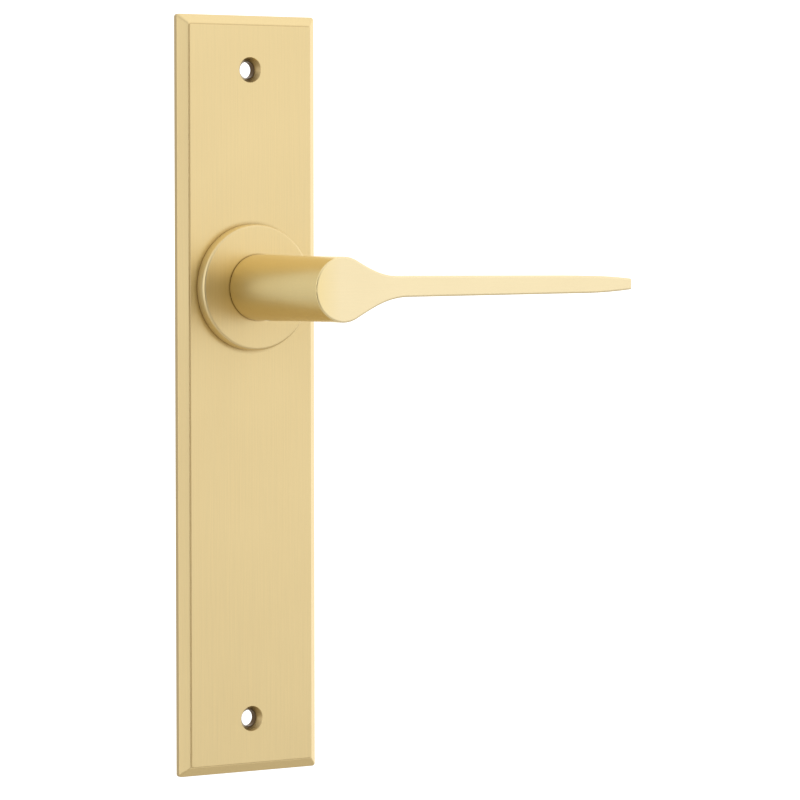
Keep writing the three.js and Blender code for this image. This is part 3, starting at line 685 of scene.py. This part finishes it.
def build_lever():
    """The whole handle: neck and blade as one casting, its turned spigot, socket and grub screw hole."""
    low, high, _ = box_of("lever")
    front, reach = low.y + FRONT_SETBACK, high.x
    neck_back = box_of("rose")[0].y - NECK_GAP
    pad = 0.6 * MM
    pinch_end, tip_start = 24 * MM, reach - 5 * MM
    xs = stations(
        (-NECK_RADIUS - pad, pinch_end, 0.4 * MM),
        (pinch_end, tip_start, 0.9 * MM),
        (tip_start, reach + pad, 0.3 * MM))
    face_end, web_end, base_start = front + 1.5 * MM, front + 38 * MM, neck_back - 1 * MM
    ys = stations(
        (front - pad, face_end, 0.15 * MM),
        (face_end, web_end, 0.45 * MM),
        (web_end, base_start, 1 * MM),
        (base_start, neck_back + pad, 0.1 * MM))
    zs = stations((-NECK_RADIUS - pad, NECK_RADIUS + pad, 0.27 * MM))
    field = lever_field(xs, ys, zs, front, neck_back, reach)
    vertices, faces = skin_of_field(field, (xs, ys, zs))
    casting = made_object("lever_casting", vertices, faces, sharp_degrees=60)
    combined(casting, [build_spigot(neck_back, high.y)], "UNION")
    socket = bar_along_y(
        "socket", SOCKET_SIZE, SOCKET_SIZE, -SOCKET_DEPTH, high.y + PAST, 0.05 * MM, 0.3 * MM)
    grub_y = box_of("lever_grub_screw")[2].y
    grub = round_bar("grub_hole", GRUB_RADIUS, 0, 1.5 * NECK_RADIUS)
    grub.data.transform(Matrix.Rotation(-math.pi / 2, 4, "X"))
    shift(grub, (0, grub_y, 0))
    return cut(casting, [socket, grub])


def build_spigot(neck_back, end):
    """Turned journal behind the neck, with its flats and the retaining ring's groove."""
    ring_low, ring_high, _ = box_of("circlip")
    root = SPIGOT_RADIUS - GROOVE_DEPTH
    spigot = revolved("spigot", [
        (0, neck_back - 1.5 * MM, 0),
        (SPIGOT_RADIUS, neck_back - 1.5 * MM, 0),
        (SPIGOT_RADIUS, ring_low.y - 0.1 * MM, 0.05 * MM),
        (root, ring_low.y - 0.1 * MM, 0),
        (root, ring_high.y + 0.1 * MM, 0),
        (SPIGOT_RADIUS, ring_high.y + 0.1 * MM, 0.05 * MM),
        (SPIGOT_RADIUS, end, 0.3 * MM),
        (0, end, 0),
    ], sides=96)
    flat_front = box_of("spring_driver")[1].y - 1.4 * MM
    flats = []
    for side in (1, -1):
        slab = bar_along_y("flat", 4 * MM, 4 * SPIGOT_RADIUS, flat_front, end + 5 * MM, 0.1 * MM, 0.1 * MM)
        flats.append(shift(slab, (side * (SPIGOT_FLAT + 2 * MM), 0, 0)))
    return cut(spigot, flats)


# ---------------------------------------------------------------- what turns with the lever


def build_spindle():
    """Square steel bar that reaches into the lock."""
    low, high, _ = box_of("spindle")
    size = high.x - low.x
    return bar_along_y("square_spindle", size, size, low.y, high.y, 0.6 * MM, 0.45 * MM)


def build_grub_screw():
    """Socket set screw, up through the underside of the neck."""
    low, high, centre = box_of("lever_grub_screw")
    radius, length = (high.x - low.x) / 2, high.z - low.z
    corners = [(0, 0, 0), (radius - 0.35 * MM, 0, 0.05 * MM)]
    corners += thread(radius, 0.3 * MM, length - 0.9 * MM, 0.8 * MM, 0.3 * MM)
    corners += [(radius - 0.9 * MM, length, 0.05 * MM), (0, length, 0)]
    screw = revolved("grub_screw_body", corners, sides=48, steps=3)
    hexagon = revolved("hexagon", [
        (0, -PAST, 0), (1.44 * MM, -PAST, 0), (1.44 * MM, 2.3 * MM, 0), (0, 2.7 * MM, 0)], sides=6)
    cut(screw, [hexagon])
    screw.data.transform(Matrix.Rotation(math.pi / 2, 4, "X"))
    return shift(screw, (0, centre.y, low.z))


def build_driver():
    """Plate on the spigot's flats: a tab on one arm bears on the spring, the other arm meets the stops."""
    low, high, _ = box_of("spring_driver")
    thickness = 1.2 * MM
    plate_front = high.y - thickness
    hub = revolved("driver_casting", [
        (0, plate_front, 0), (10.9 * MM, plate_front, 0), (10.9 * MM, high.y, 0), (0, high.y, 0)], sides=96)
    reach = 15.1 * MM
    arms = []
    for degrees, tab_length in ((117, high.y - low.y), (297, thickness)):
        arm = bar_along_y("arm", reach, 4.8 * MM, plate_front, high.y, 0.01 * MM, 0.2 * MM)
        shift(arm, (reach / 2, 0, 0))
        if tab_length > thickness:
            tab = bar_along_y("tab", 3.1 * MM, 4.8 * MM, low.y, high.y, 0.01 * MM, 0.3 * MM)
            shift(tab, (reach - 1.55 * MM, 0, 0))
            combined(arm, [tab], "UNION")
        arm.data.transform(Matrix.Rotation(-math.radians(degrees), 4, "Y"))
        arms.append(arm)
    combined(hub, arms, "UNION")
    bore = round_bar("bore", SPIGOT_RADIUS + FIT_CLEARANCE, 2 * low.y, PAST, sides=96)
    flats = bar_along_y(
        "flats", 2 * (SPIGOT_FLAT + FIT_CLEARANCE), 4 * SPIGOT_RADIUS, 3 * low.y, 2 * MM, 0.1 * MM, 0.1 * MM)
    combined(bore, [flats], "INTERSECT")
    cut(hub, [bore])
    return bevelled(hub, 0.12 * MM, 2)


def build_spring():
    """Torsion spring: its wire comes in to the coil, winds round the spigot and goes out again."""
    low, high, _ = box_of("return_spring")
    wire, coil, leg = SPRING_WIRE, 10.2 * MM, 14.6 * MM
    wind, step, leg_bend = 600, 4.0, 26
    leg_angle = leg_angle_of_spring()
    front, back = low.y + wire, high.y - wire
    route = []
    for wound in np.arange(0, wind + 1, step):
        to_end = min(wound, wind - wound)
        radius = coil + (leg - coil) * (1 - smooth_step(0, leg_bend, to_end)) ** 1.6
        if to_end == 0:
            radius = leg
        angle = math.radians(leg_angle - wound)
        y = front + (back - front) * wound / wind
        route.append((radius * math.cos(angle), y, radius * math.sin(angle)))
    return swept_wire("return_spring_wire", route, wire)


def leg_angle_of_spring():
    """Degrees from +X towards +Z of the spring's fixed leg, beside its anchor pin."""
    x, z = place_of("spring_anchor_pin")
    gap = SPRING_WIRE + PIN_RADIUS + SPRING_LEG_GAP
    return math.degrees(math.atan2(z, x) + math.asin(gap / PIN_CIRCLE)) + 360


def swept_wire(name, route, radius):
    """Round wire along a row of places."""
    curve = bpy.data.curves.new(name, "CURVE")
    curve.dimensions = "3D"
    spline = curve.splines.new("POLY")
    spline.points.add(len(route) - 1)
    for point, place in zip(spline.points, route):
        point.co = (*place, 1)
    curve.bevel_depth = radius
    curve.bevel_resolution = 4
    curve.use_fill_caps = True
    holder = bpy.data.objects.new(name + "_path", curve)
    bpy.context.scene.collection.objects.link(holder)
    bpy.context.view_layer.update()
    graph = bpy.context.evaluated_depsgraph_get()
    mesh = bpy.data.meshes.new_from_object(holder.evaluated_get(graph))
    made = bpy.data.objects.new(name, mesh)
    bpy.context.scene.collection.objects.link(made)
    bpy.data.objects.remove(holder)
    tidy_normals(made, 50)
    return made


def build_washer(node, wave=0.0):
    """Flat washer, or one with three waves round it."""
    low, high, _ = box_of(node)
    inner = 7.7 * MM
    front, back = low.y + wave, high.y - wave
    washer = revolved(node + "_ring", [
        (inner, front, 0.06 * MM), (high.x, front, 0.06 * MM),
        (high.x, back, 0.06 * MM), (inner, back, 0.06 * MM)], sides=120)
    for vertex in washer.data.vertices:
        vertex.co.y += wave * math.sin(3 * math.atan2(vertex.co.z, vertex.co.x))
    return washer


def build_circlip():
    """Open retaining ring with an eye at each end."""
    low, high, _ = box_of("circlip")
    front, back = low.y, high.y
    inner, outer, eye = 7.0 * MM, 9.0 * MM, 1.5 * MM
    half_gap, eye_turn = 24, 28
    ring = revolved("circlip_ring", [
        (inner, front, 0), (outer, front, 0), (outer, back, 0), (inner, back, 0)], sides=96)
    eyes, holes = [], []
    for side in (1, -1):
        angle = math.radians(-90 + side * eye_turn)
        centre = ((inner + eye + 0.1 * MM) * math.cos(angle), (inner + eye + 0.1 * MM) * math.sin(angle))
        eyes.append(round_bar("eye", eye, front, back, centre, sides=40))
        holes.append(round_bar("eye_hole", eye / 2.5, front - MM, back + MM, centre, sides=32))
    reach = 2 * outer
    wedge = []
    for y in (front - MM, back + MM):
        ends = [math.radians(-90 + side * half_gap) for side in (-1, 1)]
        wedge.append([(0, y, 0)] + [(reach * math.cos(a), y, reach * math.sin(a)) for a in ends])
    combined(ring, eyes, "UNION")
    cut(ring, [lofted("gap", wedge), *holes])
    return bevelled(ring, 0.08 * MM, 2)


# ---------------------------------------------------------------- materials


def node(tree, kind, inputs=None, **settings):
    """A new shader node with its settings, and each input either linked or set."""
    made = tree.nodes.new(kind)
    for name, value in settings.items():
        setattr(made, name, value)
    for name, value in (inputs or {}).items():
        if isinstance(value, bpy.types.NodeSocket):
            tree.links.new(value, made.inputs[name])
        else:
            made.inputs[name].default_value = value
    return made


def new_material(name):
    """An empty material and its node tree."""
    material = bpy.data.materials.new(name)
    material.use_nodes = True
    material.node_tree.nodes.clear()
    return material, material.node_tree


def mixed(tree, share, a, b, blend="MIX"):
    """Colour a where the share is nought, and b, or the two blended, where it is one."""
    mix = node(tree, "ShaderNodeMix", data_type="RGBA", blend_type=blend)
    for socket, value in ((0, share), (6, a), (7, b)):
        if isinstance(value, bpy.types.NodeSocket):
            tree.links.new(value, mix.inputs[socket])
        else:
            mix.inputs[socket].default_value = value
    return mix.outputs[2]


def ranged(tree, value, low, high, start=0.0, end=1.0):
    """A value between start and end, moved to between low and high."""
    return node(tree, "ShaderNodeMapRange", {
        "Value": value, "From Min": start, "From Max": end, "To Min": low, "To Max": high,
    }).outputs["Result"]


def maths(tree, operation, a, b=0.0):
    """One arithmetic step on two numbers or sockets."""
    made = node(tree, "ShaderNodeMath", operation=operation)
    for socket, value in enumerate((a, b)):
        if isinstance(value, bpy.types.NodeSocket):
            tree.links.new(value, made.inputs[socket])
        else:
            made.inputs[socket].default_value = value
    return made.outputs[0]


def own_place(tree):
    """Each point's place in its piece's own coordinates, in metres."""
    return node(tree, "ShaderNodeTexCoord").outputs["Object"]


def own_axes(tree):
    """The same place, as separate X, Y and Z."""
    split = node(tree, "ShaderNodeSeparateXYZ", {"Vector": own_place(tree)})
    return [split.outputs[k] for k in range(3)]


def noise(tree, vector, scale, detail, roughness=0.5):
    """Smooth random shade, from about 0.3 to about 0.7."""
    return node(tree, "ShaderNodeTexNoise", {
        "Vector": vector, "Scale": scale, "Detail": detail, "Roughness": roughness}).outputs["Fac"]


def distance_of(tree, a, b):
    """The length of the line with sides a and b."""
    total = maths(tree, "ADD", maths(tree, "MULTIPLY", a, a), maths(tree, "MULTIPLY", b, b))
    return maths(tree, "SQRT", total)


def surfaced(tree, settings):
    """Closes a material with one principled shader."""
    shader = node(tree, "ShaderNodeBsdfPrincipled", settings)
    output = node(tree, "ShaderNodeOutputMaterial")
    tree.links.new(shader.outputs["BSDF"], output.inputs["Surface"])


def straight_grain(tree, scale):
    """Coordinates stretched so that noise in them runs in streaks."""
    return node(tree, "ShaderNodeMapping", {"Vector": own_place(tree), "Scale": scale}).outputs["Vector"]


def turned_grain(tree, across, round_about):
    """Coordinates in which noise runs in rings round the lever's axis, as a lathe leaves it."""
    x, y, z = own_axes(tree)
    return node(tree, "ShaderNodeCombineXYZ", {
        "X": maths(tree, "MULTIPLY", distance_of(tree, x, z), across),
        "Y": maths(tree, "MULTIPLY", y, across),
        "Z": maths(tree, "MULTIPLY", maths(tree, "ARCTAN2", x, z), round_about),
    }).outputs["Vector"]


def edge_mask(tree, radius):
    """One near an edge and nought on flat metal."""
    soft = node(tree, "ShaderNodeBevel", {"Radius": radius}, samples=4).outputs["Normal"]
    true = node(tree, "ShaderNodeNewGeometry").outputs["Normal"]
    along = node(
        tree, "ShaderNodeVectorMath", {0: soft, 1: true}, operation="DOT_PRODUCT").outputs["Value"]
    return ranged(tree, along, 1.0, 0.0, 0.86, 0.995)


def openness(tree, distance):
    """One on open surfaces, falling in corners and holes; it drives the painted shade there."""
    occlusion = node(tree, "ShaderNodeAmbientOcclusion", {"Distance": distance}, samples=8)
    return occlusion.outputs["AO"]


def front_facing(tree):
    """One on a piece's front, and nought on its sides, back and round neck; it switches between copies of
    the brass that paint light and shade.
    """
    normal = node(tree, "ShaderNodeTexCoord").outputs["Normal"]
    toward_room = node(tree, "ShaderNodeSeparateXYZ", {"Vector": normal}).outputs["Y"]
    return ranged(tree, toward_room, 1.0, 0.0, -0.6, -0.2)


def round_end(tree):
    """Painted shade: strongest at the left of the neck's round face, and nought on the blade."""
    across = own_axes(tree)[0]
    return ranged(tree, across, FACE_SHADE_SHARE, 0.0, -NECK_RADIUS, -0.1 * NECK_RADIUS)


def in_fixing_holes(tree):
    """Painted shade: one on the walls of the fixing holes, less on their countersinks, and nought outside
    them.
    """
    low, high, centre = box_of("backplate")
    x, _, z = own_axes(tree)
    from_middle = maths(tree, "ABSOLUTE", maths(tree, "SUBTRACT", z, centre.z))
    from_row = maths(tree, "SUBTRACT", from_middle, (high.z - low.z) / 2 - FIXING_INSET)
    radial = distance_of(tree, from_row, x)
    wall = ranged(tree, radial, 1.0, COUNTERSINK_SHARE, FIXING_RADIUS, FIXING_RADIUS + 0.35 * MM)
    mouth = ranged(tree, radial, 1.0, 0.0, COUNTERSINK_RADIUS - 0.2 * MM, COUNTERSINK_RADIUS + 0.05 * MM)
    return maths(tree, "MULTIPLY", wall, mouth)


def streaked(tree, streaks, colour, strength):
    """A colour that goes from darker to paler across the streaks."""
    dark = [c * (1 - strength) for c in colour] + [1]
    pale = [min(1, c * (1 + strength)) for c in colour] + [1]
    return mixed(tree, ranged(tree, streaks, 0.0, 1.0, 0.3, 0.7), dark, pale)


def brushed(name, colour, roughness, grain, streak=0.05, bump=0.1, edge=None, spread=0.04,
            recess=None, face=None, hole_shade=None, face_shade=None):
    """Brushed metal: streaks in colour, roughness and height, and clouds of tone.

    It may also have edges worn paler or darkened with painted shade, a front and sides in copies of the
    brass that paint light and shade, painted shade on part of the front, and painted shade in its holes and
    corners.
    """
    material, tree = new_material(name)
    place = own_place(tree)
    streaks = noise(tree, grain(tree), 1.0, 4.0, 0.65)
    clouds = noise(tree, place, 32.0, 3.0)
    specks = noise(tree, place, 2600.0, 1.0)
    tone = streaked(tree, streaks, colour, streak)
    darkest = [c * (1 - 2 * streak) for c in colour] + [1]
    tone = mixed(tree, ranged(tree, clouds, 0.0, 0.35, 0.35, 0.65), tone, darkest)
    # Edges: paler wear on the steel parts, and painted shade that darkens the plate's rounded edges
    if edge:
        edge_wear_and_shade = maths(tree, "MULTIPLY", edge_mask(tree, EDGE_REACH), EDGE_SHARE)
        tone = mixed(tree, edge_wear_and_shade, tone, list(edge) + [1])
    # The front and the sides get different copies of the brass: painted light and shade, not a different
    # finish
    if face:
        face_tone = streaked(tree, streaks, face, streak)
        # Painted shade: part of the front is darkened back towards the side colour
        if face_shade:
            face_tone = mixed(tree, face_shade(tree), face_tone, tone)
        tone = mixed(tree, front_facing(tree), tone, face_tone)
    # Painted shade: the inside of the fixing holes is darkened nearly to black
    if hole_shade:
        tone = mixed(tree, hole_shade(tree), tone, list(BORE_SHADE) + [1])
    # Painted shade: corners, holes and the places where parts meet are darkened
    if recess:
        open_to_light = ranged(tree, openness(tree, recess), 0.0, 1.0, *CORNER_SHADE_RANGE)
        corner_shaded = mixed(tree, 1.0, tone, list(BRASS_CORNER_SHADE) + [1], "MULTIPLY")
        tone = mixed(tree, open_to_light, corner_shaded, tone)
    rough = maths(tree, "ADD",
                  ranged(tree, streaks, roughness - spread, roughness + spread, 0.3, 0.7),
                  ranged(tree, clouds, -spread / 2, spread / 2, 0.3, 0.7))
    height = maths(tree, "ADD", streaks, maths(tree, "MULTIPLY", specks, SPECK_SHARE))
    normal = node(tree, "ShaderNodeBump", {
        "Height": height, "Strength": bump, "Distance": GRAIN_DEPTH}).outputs["Normal"]
    surfaced(tree, {"Base Color": tone, "Metallic": 1.0, "Roughness": rough, "Normal": normal})
    return material


def moulded(name, colour, roughness):
    """Natural nylon: faint mottling and a fine moulded texture."""
    material, tree = new_material(name)
    place = own_place(tree)
    mottle = noise(tree, place, 260.0, 3.0)
    fine = noise(tree, place, 5200.0, 2.0, 0.6)
    tone = mixed(tree, mottle, [c * 0.93 for c in colour] + [1], list(colour) + [1])
    normal = node(tree, "ShaderNodeBump", {
        "Height": fine, "Strength": 0.12, "Distance": GRAIN_DEPTH}).outputs["Normal"]
    surfaced(tree, {
        "Base Color": tone,
        "Roughness": ranged(tree, mottle, roughness - 0.06, roughness + 0.06),
        "Subsurface Weight": 0.15,
        "Subsurface Radius": (0.002, 0.002, 0.0015),
        "Normal": normal,
    })
    return material


BRASS = (0.785, 0.622, 0.325)
# Painted shade: the plate's side walls and back get this darker copy of its brass
PLATE_SIDE_SHADE = (0.60, 0.46, 0.24)
# Painted light: the rose's side wall gets this paler copy of the brass
ROSE_SIDE_LIGHT = (1.0, 0.84, 0.50)
LEVER_BRASS = (0.86, 0.69, 0.325)
# Painted sheen: the lever's front face gets this paler, whiter brass, standing in for reflected light
LEVER_FACE_SHEEN = (0.885, 0.75, 0.47)
# Painted shade: the plate's rounded edges are darkened towards this
BRASS_EDGE_SHADE = (0.50, 0.38, 0.20)
# Painted shade: the dark that corners and meeting places are drawn towards
BRASS_CORNER_SHADE = (0.42, 0.34, 0.24)
# How far each piece's painted corner shade reaches
PLATE_RECESS, ROSE_RECESS, LEVER_RECESS = 2.2 * MM, 0.8 * MM, 1 * MM
EDGE_REACH = 0.4 * MM
EDGE_SHARE = 0.6
CORNER_SHADE_RANGE = (0.30, 0.85)
# Painted shade: the near-black given to the inside of the fixing holes
BORE_SHADE = (0.12, 0.07, 0.025)
COUNTERSINK_SHARE = 0.30
# Painted shade: how far the left of the lever's face is darkened
FACE_SHADE_SHARE = 0.8
SPECK_SHARE = 0.35
GRAIN_DEPTH = 0.02 * MM


def make_materials():
    """Every finish, by the name of its material slot."""
    streaks_up = lambda tree: straight_grain(tree, (2600.0, 2600.0, 45.0))
    streaks_along_lever = lambda tree: straight_grain(tree, (70.0, 900.0, 1800.0))
    lathe_marks = lambda tree: turned_grain(tree, 2600.0, 1.5)
    return {
        "satin_brass_plate": brushed(
            "plate_brass", PLATE_SIDE_SHADE, 0.36, streaks_up, 0.036, 0.11, BRASS_EDGE_SHADE, recess=PLATE_RECESS,
            face=BRASS, hole_shade=in_fixing_holes),
        "satin_brass_rose": brushed(
            "rose_brass", ROSE_SIDE_LIGHT, 0.36, streaks_up, 0.036, 0.11, recess=ROSE_RECESS, face=BRASS),
        "satin_brass_lever": brushed(
            "lever_brass", LEVER_BRASS, 0.34, streaks_along_lever, 0.02, 0.06, recess=LEVER_RECESS,
            face=LEVER_FACE_SHEEN, face_shade=round_end),
        "zinc_steel": brushed(
            "zinc_plated_steel", (0.60, 0.61, 0.62), 0.34, lathe_marks, 0.05, 0.1, (0.75, 0.75, 0.76)),
        "pin_steel": brushed(
            "ground_steel", (0.58, 0.59, 0.61), 0.28, streaks_up, 0.04, 0.08, (0.72, 0.72, 0.73)),
        "screw_steel": brushed(
            "screw_steel", (0.56, 0.57, 0.58), 0.32, lathe_marks, 0.06, 0.08, (0.74, 0.74, 0.75)),
        "spring_steel": brushed(
            "spring_steel", (0.24, 0.25, 0.27), 0.34, lathe_marks, 0.08, 0.08, (0.42, 0.42, 0.44)),
        "cast_zinc": brushed(
            "cast_zinc", (0.46, 0.47, 0.49), 0.5, streaks_up, 0.08, 0.2, (0.6, 0.6, 0.62), 0.08),
        "black_steel": brushed(
            "black_oxide_steel", (0.05, 0.05, 0.055), 0.42, lathe_marks, 0.1, 0.12, (0.14, 0.14, 0.15)),
        "nylon": moulded("natural_nylon", (0.80, 0.77, 0.69), 0.5),
    }


# ---------------------------------------------------------------- assembly

MATERIALS = make_materials()
SLOT_OF = {row["node"]: row["material_slot"] for row in frame["record"]["subparts"]}
BODY_OF = {name: body for body, names in frame["record"]["behaviour"]["bodies"].items() for name in names}


def install(made, cad_node, weighted=True):
    """Gives a piece its finish and lets it stand for its CAD node, on that node's body."""
    slot = SLOT_OF[cad_node]
    made.data.materials.clear()
    made.data.materials.append(MATERIALS[slot])
    if weighted:
        weigh_normals(made)
    if cad_node != "return_spring":
        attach(made, BODY_OF[cad_node])
    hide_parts(cad_node)


install(build_backplate(), "backplate")
install(build_rose(), "rose")
install(build_cover(), "cover_plate")
install(build_bush("neck_bush"), "neck_bush")
install(build_bush("rear_bush"), "rear_bush")
for pin in PINS:
    install(build_pin(pin), pin)
for screw in COVER_SCREWS:
    install(build_cover_screw(screw), screw)
install(build_lever(), "lever", weighted=False)
install(build_spindle(), "spindle")
install(build_grub_screw(), "lever_grub_screw")
install(build_driver(), "spring_driver")
install(build_washer("thrust_washer"), "thrust_washer")
install(build_washer("wave_washer", WAVE_HEIGHT), "wave_washer")
install(build_circlip(), "circlip")

spring = build_spring()
install(spring, "return_spring", weighted=False)
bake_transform(spring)


# ---------------------------------------------------------------- studio

ROOM_LOW, ROOM_HIGH = 0.685, 1.02

# Parts of the room that are brighter or darker: direction, cosine where full, cosine where none, gain
WORLD_TONES = (
    # Brighter at the back on the right
    ((0.75, 0.66, 0.0), 0.85, 0.3, 0.35),
    # A little darker at the back on the left
    ((-0.75, 0.65, -0.05), 0.9, 0.3, -0.22),
    # Nearly black in front, a little to the left
    ((-0.40, -0.92, 0.0), 0.96, 0.85, -0.90),
    # Brighter far to the left
    ((-0.85, -0.53, 0.0), 0.97, 0.85, 0.65),
    # Darker low in front
    ((0.0, -0.80, -0.60), 0.93, 0.77, -0.40),
)


def stage_floor():
    """A wide pale floor, well below the part."""
    radius, drop, sides = 3.0, 1.0, 96
    z = cad_box[0].z - drop
    turns = [2 * math.pi * k / sides for k in range(sides)]
    ring = [(radius * math.cos(turn), radius * math.sin(turn), z) for turn in turns]
    floor = made_object("studio_floor", ring, [list(range(sides))])
    material, tree = new_material("studio_floor_paint")
    cloud = noise(tree, own_place(tree), 2.0, 2.0)
    tone = mixed(tree, cloud, (0.60, 0.57, 0.51, 1), (0.64, 0.61, 0.55, 1))
    surfaced(tree, {"Base Color": tone, "Roughness": 0.9})
    floor.data.materials.append(material)


def softbox(name, direction, distance, width, height, radiance):
    """A rectangular soft light that faces the part."""
    light = bpy.data.lights.new(name, "AREA")
    light.shape = "RECTANGLE"
    light.size, light.size_y = width, height
    light.energy = radiance * math.pi * width * height
    lamp = bpy.data.objects.new(name, light)
    bpy.context.scene.collection.objects.link(lamp)
    lamp.location = Vector(direction).normalized() * distance
    lamp.rotation_euler = lamp.location.to_track_quat("Z", "Y").to_euler()


def facing(tree, ray, direction, full, none):
    """One where a ray points along a direction, falling smoothly to nought; both limits are cosines."""
    along = node(tree, "ShaderNodeVectorMath", {0: ray, 1: Vector(direction).normalized()},
                 operation="DOT_PRODUCT").outputs["Value"]
    return node(tree, "ShaderNodeMapRange", {
        "Value": along, "From Min": none, "From Max": full, "To Min": 0.0, "To Max": 1.0,
    }, interpolation_type="SMOOTHSTEP").outputs["Result"]


def make_world():
    """A white room, a little darker low down, with the brighter and darker parts listed above."""
    world = bpy.data.worlds.new("studio")
    world.use_nodes = True
    tree = world.node_tree
    tree.nodes.clear()
    ray = node(tree, "ShaderNodeTexCoord").outputs["Generated"]
    height = node(tree, "ShaderNodeSeparateXYZ", {"Vector": ray}).outputs["Z"]
    level = ranged(tree, height, ROOM_LOW, ROOM_HIGH, -1.0, 0.1)
    for direction, full, none, gain in WORLD_TONES:
        share = maths(tree, "MULTIPLY", facing(tree, ray, direction, full, none), gain)
        level = maths(tree, "MULTIPLY", level, maths(tree, "ADD", share, 1.0))
    back = node(tree, "ShaderNodeBackground", {"Color": (1, 1, 1, 1), "Strength": level})
    output = node(tree, "ShaderNodeOutputWorld")
    tree.links.new(back.outputs["Background"], output.inputs["Surface"])
    bpy.context.scene.world = world


def make_camera():
    """The photograph's camera: ahead and to the left of the part, a little above it."""
    yaw, pitch, roll = CAMERA_YAW, CAMERA_PITCH, CAMERA_ROLL
    flat = Vector((math.sin(yaw), math.cos(yaw), 0))
    ahead = flat * math.cos(pitch) - Vector((0, 0, math.sin(pitch)))
    right = Vector((math.cos(yaw), -math.sin(yaw), 0))
    up = right.cross(ahead)
    level_right, level_up = right, up
    right = level_right * math.cos(roll) + level_up * math.sin(roll)
    up = level_up * math.cos(roll) - level_right * math.sin(roll)
    camera_data = bpy.data.cameras.new("camera")
    camera_data.lens = CAMERA_LENS
    camera_data.sensor_width = CAMERA_SENSOR_WIDTH
    camera = bpy.data.objects.new("camera", camera_data)
    bpy.context.scene.collection.objects.link(camera)
    turn = Matrix((right, up, -ahead)).transposed().to_4x4()
    camera.matrix_world = Matrix.Translation(CAMERA_TARGET - ahead * CAMERA_DISTANCE) @ turn
    bpy.context.scene.camera = camera


stage_floor()
make_world()
softbox("key_light", (0.60, -0.80, 0.20), distance=1.6, width=1.3, height=1.2, radiance=0.18)
softbox("top_light", (0.45, -0.25, 1.0), distance=1.6, width=1.0, height=1.0, radiance=0.20)
make_camera()
bpy.context.scene.view_settings.view_transform = "Standard"
